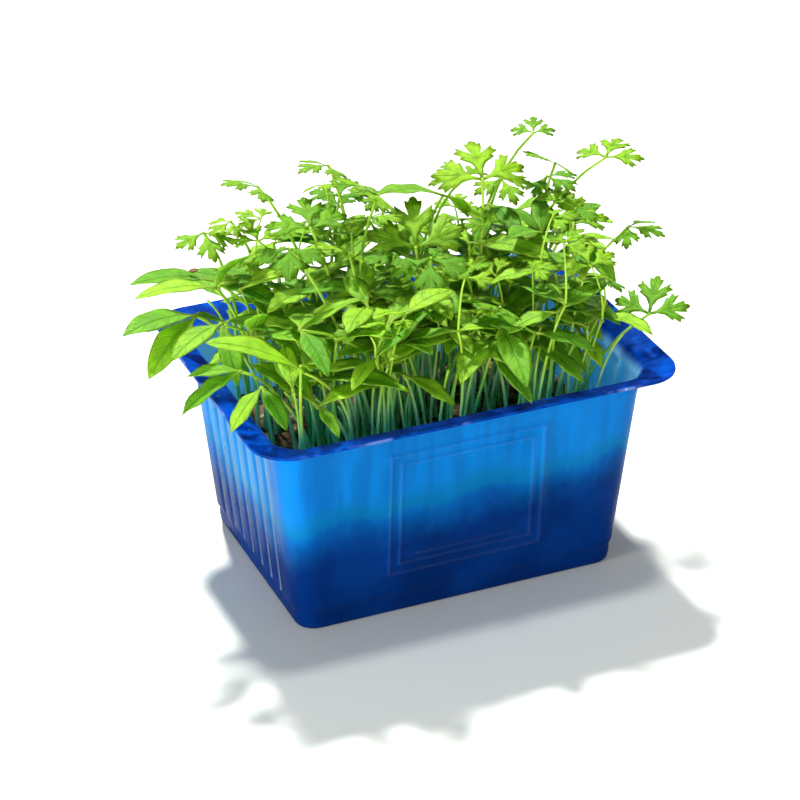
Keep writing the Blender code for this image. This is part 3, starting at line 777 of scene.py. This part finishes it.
class Material(Finish):
    """A Principled material in the making."""

    def __init__(self, name):
        self.material = bpy.data.materials.new(name)
        self.material.use_nodes = True
        super().__init__(self.material.node_tree)
        self.shader = self.tree.nodes["Principled BSDF"]

    def patches(self, patch_scale):
        """The broad patches and the fine grain of the shared group, at this finish's scale."""
        node = self.node("Group")
        node.node_tree = UNEVEN_PATCHES
        self.feed(node.inputs["Patch Scale"], patch_scale)
        return node.outputs["Patches"], node.outputs["Grain"]

    def shade(self, **values):
        """Gives the shader's own inputs their values; _ stands for a space in an input's name."""
        for name, value in values.items():
            self.feed(self.shader.inputs[name.replace("_", " ")], value)

    def surface(self, colour, roughness, relief, strength, distance):
        """Gives the shader its colour, its roughness and its fine relief."""
        bump = self.node("Bump", Strength=strength, Distance=distance, Height=relief)
        self.shade(Base_Color=colour, Roughness=roughness, Normal=bump.outputs["Normal"])

    def glow(self, weight):
        """Light that soaks through a thin leaf or stem."""
        self.shade(Subsurface_Weight=weight, Subsurface_Radius=(0.5, 1.0, 0.05), Subsurface_Scale=0.0012)

    def see_through(self, colour, share):
        """Adds the light that a thin blade or wall passes on from behind."""
        through = self.node("BsdfTranslucent", Color=colour)
        mix = self.node("MixShader", Fac=share)
        self.feed(mix.inputs[1], self.shader.outputs[0])
        self.feed(mix.inputs[2], through.outputs[0])
        self.feed(self.tree.nodes["Material Output"].inputs["Surface"], mix.outputs[0])


def seed_leaf_material():
    leaf = Material("seed_leaf_green")
    along, across, tint = leaf.attribute("blade")
    patches, grain = leaf.patches(240.0)
    base = leaf.blend(tint, (0.13, 0.44, 0.004), (0.46, 0.84, 0.024))
    base = leaf.blend(leaf.times(patches, 0.40), base, (0.07, 0.28, 0.003))
    side = leaf.math("ABSOLUTE", across)
    rib = leaf.ramp(side, 0.03, 0.12, 1.0, 0.0)
    turn = leaf.math("SUBTRACT", leaf.times(along, LEAF_VEINS), leaf.times(side, VEIN_SLANT))
    gap = leaf.math("ABSOLUTE", leaf.math("SUBTRACT", leaf.math("FRACT", turn), 0.5))
    branch = leaf.times(leaf.ramp(gap, 0.02, 0.09, 1.0, 0.0), 0.5)
    veins = leaf.math("MAXIMUM", rib, branch)
    base = leaf.blend(leaf.times(veins, 0.38), base, (0.08, 0.27, 0.003))
    margin = leaf.ramp(side, 0.90, 0.99)
    base = leaf.blend(leaf.times(margin, 0.5), base, (0.50, 0.68, 0.10))
    stalk = leaf.ramp(along, 0.10, 0.26, 1.0, 0.0)
    base = leaf.blend(stalk, base, (0.33, 0.56, 0.035))
    relief = leaf.math("SUBTRACT", leaf.times(grain, 1.3), veins)
    leaf.surface(base, leaf.ramp(grain, 0.2, 0.8, 0.30, 0.56), relief, 0.8, 0.0004)
    leaf.shade(Specular_IOR_Level=0.42)
    leaf.glow(0.20)
    leaf.see_through(base, 0.22)
    return leaf.material


def true_leaf_material():
    leaf = Material("true_leaf_green")
    _, lobe, tint = leaf.attribute("blade")
    patches, grain = leaf.patches(420.0)
    base = leaf.blend(tint, (0.14, 0.44, 0.002), (0.44, 0.82, 0.014))
    base = leaf.blend(leaf.times(patches, 0.40), base, (0.08, 0.28, 0.002))
    veins = leaf.ramp(lobe, 0.84, 0.98)
    base = leaf.blend(leaf.times(veins, 0.5), base, (0.46, 0.72, 0.06))
    relief = leaf.math("SUBTRACT", leaf.times(grain, 1.1), veins)
    leaf.surface(base, leaf.ramp(grain, 0.2, 0.8, 0.32, 0.58), relief, 0.8, 0.0004)
    leaf.shade(Specular_IOR_Level=0.42)
    leaf.glow(0.20)
    leaf.see_through(base, 0.24)
    return leaf.material


def stem_material():
    """Yellow-green stalks that turn pale and glassy down in the tray, where the blue light from the tray's
    walls is painted on them.
    """
    stem = Material("stem_green")
    tint = stem.attribute("blade")["Z"]
    patches, grain = stem.patches(300.0)
    low = stem.ramp(stem.split(stem.place())["Z"], 0.060, 0.078, 1.0, 0.0)
    green = stem.blend(tint, (0.28, 0.54, 0.015), (0.52, 0.76, 0.06))
    # Pale lower stalks with the tray's blue light painted on them
    pale_and_blue_lit = stem.blend(tint, (0.03, 0.42, 0.13), (0.50, 0.90, 0.48))
    base = stem.blend(stem.times(patches, 0.3), stem.blend(low, green, pale_and_blue_lit), (0.16, 0.34, 0.04))
    stem.surface(base, stem.ramp(grain, 0.2, 0.8, 0.26, 0.46), grain, 0.25, 0.0002)
    stem.shade(Specular_IOR_Level=0.4)
    stem.glow(0.35)
    return stem.material


def tray_material(name, painted_glow):
    """Thin blue plastic that lets light through; light is painted into its colour above the substrate and
    shade in front of it, with painted highlights and flute shading.
    """
    wall = Material(name)
    patches, _ = wall.patches(42.0)
    place = wall.place()
    x, _, z = wall.split(place)
    # The glint attribute: painted highlight lines, painted shade across each flute, and the painted highlight
    # along the rim's outer edge
    line, flute_shade, edge_glint = wall.attribute("glint")

    # Painted light and shade: the level above which the wall is painted as lit from inside and below which it
    # is painted dark: uneven, lower to the left and at the short sides
    height = wall.math("ADD", z, wall.times(wall.noise(place, 34.0, 5.0, 0.62), -0.020))
    height = wall.math("ADD", height, wall.times(x, -0.05))
    height = wall.math("ADD", height, wall.ramp(wall.math("ABSOLUTE", x), 0.050, 0.057, 0.0, 0.003))
    above = wall.ramp(height, 0.014, 0.038)
    painted_band = wall.times(wall.ramp(height, 0.0275, 0.0300), wall.ramp(height, 0.0305, 0.0390, 1.0, 0.0))

    # Painted shade below the lit level and painted light above it, with streaks of painted stem shade and a
    # lighter painted stripe at the substrate's top
    streaks = wall.node("Mapping", Vector=place, Scale=(1.0, 1.0, 0.10)).outputs["Vector"]
    stem_shade = wall.ramp(wall.noise(streaks, 150.0, 4.0, 0.6), 0.32, 0.70)
    shaded_blue = wall.blend(patches, (0.0004, 0.034, 0.23), (0.0006, 0.058, 0.36))
    lit_blue = wall.blend(stem_shade, (0.0006, 0.18, 0.62), (0.0010, 0.30, 0.90))
    body = wall.blend(above, shaded_blue, lit_blue)
    body = wall.blend(wall.times(painted_band, 0.55), body, (0.0010, 0.27, 0.56))
    # A pale glow painted on the wall above the substrate; the outside copy gets none of it
    body = wall.blend(wall.times(above, painted_glow), body, (0.42, 0.86, 1.0))
    # Painted shade across each flute, then painted highlight lines at the grooves and panel ridges
    body = wall.blend(wall.times(flute_shade, wall.times(above, 0.6)), body, (0.02, 0.55, 0.95))
    body = wall.blend(line, body, (0.88, 0.98, 1.0))

    # The rim's darker blue, with painted highlight specks along its top and a painted highlight along its
    # outer edge
    rim = wall.ramp(z, 0.0655, 0.0690)
    mottle = wall.ramp(wall.noise(place, 120.0, 4.0, 0.6), 0.36, 0.66)
    body = wall.blend(rim, body, wall.blend(mottle, (0.0006, 0.050, 0.38), (0.0010, 0.14, 0.74)))
    glint_speck_cells = wall.node("TexVoronoi", Vector=place, Scale=330.0).outputs["Distance"]
    glint_speck_places = wall.noise(place, 60.0)
    painted_speck_glint = wall.times(wall.ramp(glint_speck_cells, 0.08, 0.20, 1.0, 0.0), wall.ramp(glint_speck_places, 0.58, 0.66))
    painted_speck_glint = wall.times(painted_speck_glint, wall.ramp(z, 0.0692, 0.0704))
    painted_edge_glint = wall.times(edge_glint, wall.ramp(glint_speck_places, 0.52, 0.66, 0.0, 0.30))
    body = wall.blend(wall.math("MAXIMUM", painted_speck_glint, painted_edge_glint), body, (0.80, 0.92, 1.0))

    scuffs = wall.node("Mapping", Vector=place, Rotation=(0.0, 0.5, 0.3), Scale=(0.05, 1.0, 1.0))
    scratch = wall.noise(scuffs.outputs["Vector"], 900.0, 2.0)
    scratched = wall.ramp(scratch, 0.62, 0.75, 0.0, 0.16)
    rough = wall.math("ADD", wall.ramp(patches, 0.0, 1.0, 0.20, 0.30), scratched)
    relief = wall.math("ADD", wall.noise(place, 60.0, 2.0), wall.times(scratch, 0.05))
    wall.surface(body, rough, relief, 0.35, 0.0006)
    wall.shade(Specular_IOR_Level=0.06)
    # The light passed through the wall is painted paler where the wall is painted as lit
    lit = wall.times(wall.times(above, wall.math("SUBTRACT", 1.0, rim)), 0.36)
    wall.see_through(wall.blend(lit, body, (0.40, 0.88, 1.0)), 0.50)
    return wall.material


def substrate_material():
    soil = Material("damp_substrate")
    patches, grain = soil.patches(320.0)
    stretch = soil.node("Mapping", Vector=soil.place(), Rotation=(0.4, 0.2, 0.7), Scale=(0.12, 1.0, 1.0))
    fibre = soil.noise(stretch.outputs["Vector"], 900.0, 3.0)
    base = soil.blend(patches, (0.035, 0.016, 0.007), (0.16, 0.085, 0.035))
    base = soil.blend(soil.ramp(fibre, 0.60, 0.68), base, (0.52, 0.40, 0.24))
    soil.surface(base, soil.ramp(grain, 0.2, 0.8, 0.7, 0.95), soil.math("ADD", grain, fibre), 0.9, 0.0006)
    return soil.material


def husk_material():
    husk = Material("seed_husk_brown")
    patches, grain = husk.patches(500.0)
    stripes = husk.math("SINE", husk.times(husk.attribute("blade")["Y"], 31.4))
    base = husk.blend(husk.ramp(stripes, -0.2, 0.6), (0.07, 0.025, 0.012), (0.42, 0.20, 0.10))
    base = husk.blend(husk.times(patches, 0.4), base, (0.16, 0.07, 0.04))
    husk.surface(base, husk.ramp(grain, 0.2, 0.8, 0.45, 0.7), husk.math("ADD", stripes, grain), 0.5, 0.0002)
    return husk.material


# Fine tray
GROOVE_SAMPLES = (-1.0, -0.72, -0.45, -0.2, 0.0, 0.2, 0.45, 0.72, 1.0)
RIDGE_SAMPLES = (-1.5, -0.95, -0.5, 0.0, 0.5, 0.95, 1.5)
FINE_CORNER_STEPS = 10


def groove_share(s):
    """Depth of a groove across its mouth, 0 at the flutes' faces and 1 at its floor."""
    return (0.5 + 0.5 * cos(pi * s)) ** 0.8


def fine_side(half_length, flat, groove_depth, toe):
    """Points up one fluted short side; toe pushes the flutes' rounded ends out."""
    points = []
    pitch = flat / FLUTES
    half_mouth = GROOVE_MOUTH / 2
    points.append((half_length, -flat / 2))
    for groove in range(1, FLUTES):
        y = flat * (groove / FLUTES - 0.5)
        points.append((half_length + toe, y - pitch / 2))
        for s in GROOVE_SAMPLES:
            depth = groove_share(s)
            out = toe * (1 - depth) - groove_depth * depth
            points.append((half_length + out, y + s * half_mouth))
    points.append((half_length + toe, flat / 2 - pitch / 2))
    points.append((half_length, flat / 2))
    return points


def ridge_lines(low_middle, steps):
    """Sorted places to put mesh lines so that each ridge centre in low_middle gets its own fine lines."""
    places = set(steps)
    for middle in low_middle:
        for s in RIDGE_SAMPLES:
            places.add(round(middle + s * PANEL_RIDGE / 2, 6))
    kept = []
    for place in sorted(places):
        if not kept or place - kept[-1] > 0.00012:
            kept.append(place)
    return kept


def ridge_bump(offset):
    """Height of a rounded ridge at a distance from its middle line, as a share of its full height."""
    s = abs(offset) / (PANEL_RIDGE / 2)
    return 0.0 if s >= 1.5 else (0.5 + 0.5 * cos(pi * s / 1.5)) ** 0.7


def panel_relief(x, up):
    """How far the framed panel stands proud of the long wall at x along it and up it."""
    best = 0.0
    for inset in (0.0, PANEL_FRAME_GAP):
        a = PANEL_LENGTH / 2 - inset - PANEL_RIDGE / 2
        b = PANEL_HEIGHT / 2 - inset - PANEL_RIDGE / 2
        dx, dz = abs(x) - a, abs(up - PANEL_MIDDLE) - b
        distance = max(dx, dz) if max(dx, dz) < 0 else hypot(max(dx, 0.0), max(dz, 0.0))
        best = max(best, ridge_bump(distance))
    dx = max(0.0, abs(x) - (PANEL_BAR_LENGTH - PANEL_RIDGE) / 2)
    dz = up - (PANEL_MIDDLE - PANEL_BAR_DROP)
    best = max(best, ridge_bump(hypot(dx, dz)))
    return PANEL_PROUD * best


def fine_ring(length, width, corner, z, groove_depth=0.0, toe=0.0, panel=False):
    """One level of the fine tray's outside, with the same middle line as the solid's."""
    half = fine_side(length / 2, width - 2 * corner, groove_depth, toe)
    turns = [pi / 2 * step / FINE_CORNER_STEPS for step in range(1, FINE_CORNER_STEPS)]
    arc = [(corner * (1 - cos(turn)), corner * (1 - sin(turn))) for turn in turns]
    half += [(length / 2 - a, width / 2 - b) for a, b in arc]
    a0 = PANEL_LENGTH / 2 - PANEL_RIDGE / 2
    centres = [s * (a0 - inset) for inset in (0.0, PANEL_FRAME_GAP) for s in (-1, 1)]
    bar = PANEL_BAR_LENGTH / 2 - PANEL_RIDGE / 2
    centres += [-bar, bar]
    reach = WALL_FOOT_LENGTH / 2 - WALL_CORNER
    lines = ridge_lines(centres, [reach * s / 9 for s in range(-8, 9)])
    flat = length / 2 - corner
    half.append((flat, width / 2))
    for x in reversed(lines):
        if abs(x) < flat - 0.0002:
            half.append((x, width / 2 + (panel_relief(x, z) if panel else 0.0)))
    half.append((-flat, width / 2))
    half += [(b - length / 2, width / 2 - a) for a, b in arc]
    return [(x, y, z) for x, y in half] + [(-x, -y, z) for x, y in half]


def wall_at(z):
    """Length, width and corner of the wall's outside at a height."""
    share = (z - FLUTE_BOTTOM) / (FLUTE_TOP - FLUTE_BOTTOM)
    length = WALL_FOOT_LENGTH + share * (WALL_TOP_LENGTH - WALL_FOOT_LENGTH)
    width = WALL_FOOT_WIDTH + share * (WALL_TOP_WIDTH - WALL_FOOT_WIDTH)
    return length, width, WALL_CORNER - 0.001 * (1 - share)


def fine_tray_levels():
    """The tray's outside from its foot up to the flange's edge."""
    levels = []
    for degrees in (0, 18, 36, 54, 72, 90):
        turn = radians(degrees)
        inset = 2 * FOOT_RADIUS * (1 - sin(turn))
        corner = FOOT_CORNER - inset / 2
        z = FOOT_RADIUS * (1 - cos(turn))
        levels.append(fine_ring(FOOT_LENGTH - inset, FOOT_WIDTH - inset, corner, z))
    for z in (0.0030, 0.0045, 0.0058):
        levels.append(fine_ring(FOOT_LENGTH + 0.0004, FOOT_WIDTH + 0.0004, FOOT_CORNER, z))
    length, width, corner = wall_at(FLUTE_BOTTOM)
    for share, z in ((0.12, 0.00650), (0.45, 0.00690), (0.80, 0.00755), (1.0, 0.00850)):
        grow = 0.0006 + (length - FOOT_LENGTH - 0.0006) * share
        wide = 0.0006 + (width - FOOT_WIDTH - 0.0006) * share
        depth = GROOVE_DEPTH * max(0.0, share - 0.12)
        corner = FOOT_CORNER + 0.0015 * share
        levels.append(fine_ring(FOOT_LENGTH + grow, FOOT_WIDTH + wide, corner, z, depth))
    b0 = PANEL_HEIGHT / 2 - PANEL_RIDGE / 2
    centres = [PANEL_MIDDLE + s * (b0 - inset) for inset in (0.0, PANEL_FRAME_GAP) for s in (-1, 1)]
    centres.append(PANEL_MIDDLE - PANEL_BAR_DROP)
    for z in ridge_lines(centres, [FLUTE_BOTTOM + 0.0015 + 0.0034 * i for i in range(16)]):
        if FLUTE_BOTTOM + 0.0008 < z < FLUTE_TOP - 0.002:
            length, width, corner = wall_at(z)
            levels.append(fine_ring(length, width, corner, z, GROOVE_DEPTH, 0.0, True))
    top_length, top_width, top_corner = wall_at(FLUTE_TOP - 0.001)
    for share in (1.0, 0.8, 0.5, 0.2, 0.0):
        z = FLUTE_TOP - 0.0012 + 0.0022 * (1 - share)
        levels.append(fine_ring(top_length + 0.0002, top_width + 0.0002, top_corner, z, GROOVE_DEPTH * share))
    neck_length, neck_width = RIM_LENGTH - 2 * FLANGE_WIDTH, RIM_WIDTH - 2 * FLANGE_WIDTH
    neck = RIM_HEIGHT - FLANGE_RISE - PLASTIC
    start = (top_length + 0.0003, top_width + 0.0003, WALL_CORNER, FLUTE_TOP + 0.0016)
    bend = (neck_length, neck_width + 0.0006, WALL_CORNER + 0.0005, neck - 0.0003)
    end = (neck_length + 0.004, neck_width + 0.004, WALL_CORNER + 0.002, neck + 0.0006)
    for step in range(7):
        t = step / 6
        sizes = [a * (1 - t) ** 2 + 2 * b * t * (1 - t) + c * t * t for a, b, c in zip(start, bend, end)]
        levels.append(fine_ring(*sizes))
    top = RIM_HEIGHT - PLASTIC
    for share in (0.35, 0.7, 0.93, 1.0):
        sizes = [a + (b - a) * share for a, b in zip(end, (RIM_LENGTH, RIM_WIDTH, RIM_CORNER, top))]
        levels.append(fine_ring(*sizes))
    return levels


def glint(x, y, z):
    """Where light is painted: highlight lines at grooves and ridges, the shade across a flute, and a
    highlight along the rim's outer edge.
    """
    if z > RIM_HEIGHT - 2 * PLASTIC:
        out = max(abs(x) - RIM_LENGTH / 2, abs(y) - RIM_WIDTH / 2)
        return 0.0, 0.0, 1.0 if out > -0.0001 else 0.0
    length, width, corner = wall_at(z)
    flat = width - 2 * corner
    if not FLUTE_BOTTOM - 0.001 < z < FLUTE_TOP + 0.001:
        return 0.0, 0.0, 0.0
    if abs(x) > length / 2 - 2 * GROOVE_DEPTH:
        place = (y / flat + 0.5) * FLUTES
        if not 0.6 < place < FLUTES - 0.6:
            return 0.0, 0.0, 0.0
        aside = (place - round(place)) * flat / FLUTES / (GROOVE_MOUTH / 2)
        return max(0.0, 1 - abs(aside - 0.45) / 0.30), place % 1.0, 0.0
    return 0.02 * panel_relief(x, z) / PANEL_PROUD, 0.0, 0.0


def build_tray(outside, inside):
    levels = fine_tray_levels()
    points, sides = [point for level in levels for point in level], len(levels[0])
    faces = [tuple(reversed(range(sides)))] + bands(len(levels), sides)
    mesh = new_mesh("tray_plastic", points, faces, [outside, inside])
    tray = put_in_scene("tray_plastic", mesh)
    shine = mesh.attributes.new("glint", "FLOAT_VECTOR", "POINT")
    shine.data.foreach_set("vector", [value for point in points for value in glint(*point)])
    skin = tray.modifiers.new("plastic", "SOLIDIFY")
    skin.thickness = PLASTIC
    skin.offset = -1
    skin.material_offset = 1
    soft = tray.modifiers.new("edges", "BEVEL")
    soft.width = 0.00025
    soft.segments = 2
    soft.limit_method = "ANGLE"
    soft.angle_limit = radians(60)
    mesh.shade_smooth()
    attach(tray, "root")
    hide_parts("tray")


SUBSTRATE_SIDES = 88
CRUMBLY_ABOVE = 0.042


def build_substrate(material):
    """A rough block of plant fibre, crumbly on top."""
    low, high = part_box("substrate")
    half_x, half_y = (high[0] - low[0]) / 2, (high[1] - low[1]) / 2
    profile = [
        (0.92, low[2]), (0.93, low[2] + 0.0012), (0.955, 0.014), (0.985, 0.034), (0.993, 0.0415),
        (0.985, 0.0432), (0.96, 0.0440),
    ]
    profile += [(share, 0.0443) for share in (0.90, 0.82, 0.73, 0.63, 0.52, 0.41, 0.30, 0.20, 0.10)]
    points, facts = [], []
    for share, z in profile:
        crumbly = z > CRUMBLY_ABOVE
        for i in range(SUBSTRATE_SIDES):
            turn = 2 * pi * i / SUBSTRATE_SIDES
            cx, cy = cos(turn), sin(turn)
            stretch = (abs(cx) ** 7 + abs(cy) ** 7) ** (-1 / 7)
            x, y = half_x * share * cx * stretch, half_y * share * cy * stretch
            rough = noise.fractal(Vector((x, y, z)) * 260, 1.0, 2.0, 4) if crumbly else 0.0
            points.append(Vector((x, y, z + 0.0011 * rough - (0.0006 if crumbly else 0))))
            facts.append((share, 0.0, 0.5))
    bunch = Bunch()
    bunch.add(points, closed_bands(len(profile), SUBSTRATE_SIDES), 0, facts)
    soil = bunch.make("substrate_fibre", [material])
    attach(soil, "root")
    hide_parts("substrate")


def build_husk(name, place, heading, pitch, length, material):
    """An empty seed husk caught on the leaves: a pointed, ribbed grain."""
    along, across, out = leaf_axes(heading, pitch)
    rings, sides = 13, 16
    points, facts = [], []
    for ring in range(rings):
        t = ring / (rings - 1)
        radius = length * 0.26 * sin(pi * (0.04 + 0.92 * t)) ** 0.8
        for side in range(sides):
            turn = 2 * pi * side / sides
            ribbed = radius * (1 + 0.05 * cos(5 * turn))
            offset = across * cos(turn) * ribbed + out * sin(turn) * ribbed * 0.7
            points.append(Vector(place) + along * length * (t - 0.5) + offset)
            facts.append((t, side / sides, 0.5))
    bunch = Bunch()
    bunch.add(points, closed_bands(rings, sides), 0, facts)
    husk = bunch.make(name, [material])
    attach(husk, "root")


def build_sprouts(materials):
    places = plug_places()
    bunches = [Bunch() for _ in places]
    rng = random.Random(SEED + 9)
    for clump, plan in enumerate(plan_clumps(places)):
        for kind, *facts in plan:
            if kind == "stem":
                add_stem(bunches[clump], *facts, rng)
            elif kind == "seed leaf":
                add_seed_leaf(bunches[clump], *facts, rng)
            else:
                add_true_leaf(bunches[clump], *facts, rng)
    for clump, foot, joint, leaves, true_leaf in extra_plants(places):
        bow = Vector((rng.uniform(-1, 1), rng.uniform(-1, 1), 0)) * 0.003
        add_stem(bunches[clump], foot, joint, bow, rng, rng.uniform(0.75, 1.0))
        for heading, pitch, length in leaves:
            add_seed_leaf(bunches[clump], joint, heading, pitch, length, rng)
        if true_leaf:
            top = joint + Vector((rng.uniform(-4, 4), rng.uniform(-4, 4), rng.uniform(8, 22))) * MM
            add_stem(bunches[clump], joint - Vector((0, 0, 0.0005)), top, Vector((0, 0, 0)), rng, 0.6)
            add_true_leaf(bunches[clump], top, rng.uniform(-180, 180), rng.uniform(0, 40), true_leaf, rng)
    for number, bunch in enumerate(bunches, 1):
        piece = bunch.make(f"leafy_bunch_{number:02d}", materials)
        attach(piece, "root")
        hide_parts(f"sprouts_{number:02d}")


FLOOR_REACH = 6.0


def build_floor():
    paper = Material("white_floor")
    grain = paper.noise(paper.place(), 40.0, 4.0)
    white = paper.blend(grain, (0.90, 0.935, 0.89), (0.93, 0.96, 0.92))
    paper.shade(Base_Color=white, Roughness=0.6, Specular_IOR_Level=0.2)
    corners = [(x * FLOOR_REACH, y * FLOOR_REACH, 0) for x, y in ((-1, -1), (1, -1), (1, 1), (-1, 1))]
    floor = put_in_scene("floor", new_mesh("floor", corners, [(0, 1, 2, 3)], [paper.material]))


def add_light(name, kind, place, target, energy, size, colour):
    """A lamp aimed at a point; size is a sun's angle in degrees or a disc's width in metres."""
    data = bpy.data.lights.new(name, kind)
    data.energy = energy
    data.color = colour
    if kind == "SUN":
        data.angle = radians(size)
    else:
        data.shape = "DISK"
        data.size = size
    lamp = put_in_scene(name, data)
    lamp.location = place
    lamp.rotation_euler = (Vector(target) - Vector(place)).to_track_quat("-Z", "Y").to_euler()


def build_light():
    """A white backdrop, a soft sky, a sun from behind, one overhead, and fills at the left and in front."""
    world = bpy.data.worlds.new("white studio")
    bpy.context.scene.world = world
    world.use_nodes = True
    sky = Finish(world.node_tree)
    backdrop = sky.tree.nodes["Background"]
    sky.feed(backdrop.inputs["Color"], (1, 1, 1))
    sky.feed(backdrop.inputs["Strength"], 1.0)
    soft = sky.node("Background", Color=(1.0, 1.0, 0.96), Strength=0.18)
    mix = sky.node("MixShader", Fac=sky.node("LightPath").outputs["Is Camera Ray"])
    sky.feed(mix.inputs[1], soft.outputs[0])
    sky.feed(mix.inputs[2], backdrop.outputs[0])
    sky.feed(sky.tree.nodes["World Output"].inputs["Surface"], mix.outputs[0])
    add_light("key", "SUN", (0.04, 0.53, 0.85), (0, 0, 0), 4.9, 5.0, (1.0, 0.99, 0.93))
    add_light("overhead", "SUN", (0.06, 0.08, 1.0), (0, 0, 0), 0.9, 7.0, (1.0, 1.0, 0.96))
    add_light("left fill", "AREA", (-1.5, -0.35, 0.26), (0, 0, 0.05), 16.0, 0.5, (0.98, 1.0, 0.99))
    add_light("front fill", "AREA", (-0.35, -1.5, 0.42), (0, 0, 0.05), 8.5, 0.6, (1.0, 1.0, 0.96))


# Fitted to the rim and the foot in the photograph
CAMERA_LENS = 129.1
CAMERA_SENSOR = 36.0
CAMERA_TARGET = (-0.00432, 0.0, 0.0518)
CAMERA_BACK = (-0.3459, -0.8043, 0.4833)
CAMERA_DISTANCE = 0.9049


def build_camera():
    data = bpy.data.cameras.new("camera")
    data.lens = CAMERA_LENS
    data.sensor_width = CAMERA_SENSOR
    camera = put_in_scene("camera", data)
    back = Vector(CAMERA_BACK)
    camera.location = Vector(CAMERA_TARGET) + back * CAMERA_DISTANCE
    camera.rotation_euler = (-back).to_track_quat("-Z", "Y").to_euler()
    bpy.context.scene.camera = camera


build_camera()
build_light()
build_floor()
outside_blue = tray_material("tray_blue_plastic", 0.0)
# The inside copy of the blue has a pale painted glow above the substrate
build_tray(outside_blue, tray_material("tray_blue_inside_painted_glow", 0.85))
build_substrate(substrate_material())
build_sprouts([make() for make in (stem_material, seed_leaf_material, true_leaf_material)])
husk_brown = husk_material()
build_husk("seed_husk_left", (-0.0600, 0.0330, 0.0725), -24, 6, 0.0052, husk_brown)
build_husk("seed_husk_back", (-0.0645, 0.0200, 0.1000), -50, 20, 0.0036, husk_brown)
bpy.context.scene.view_settings.view_transform = "Standard"
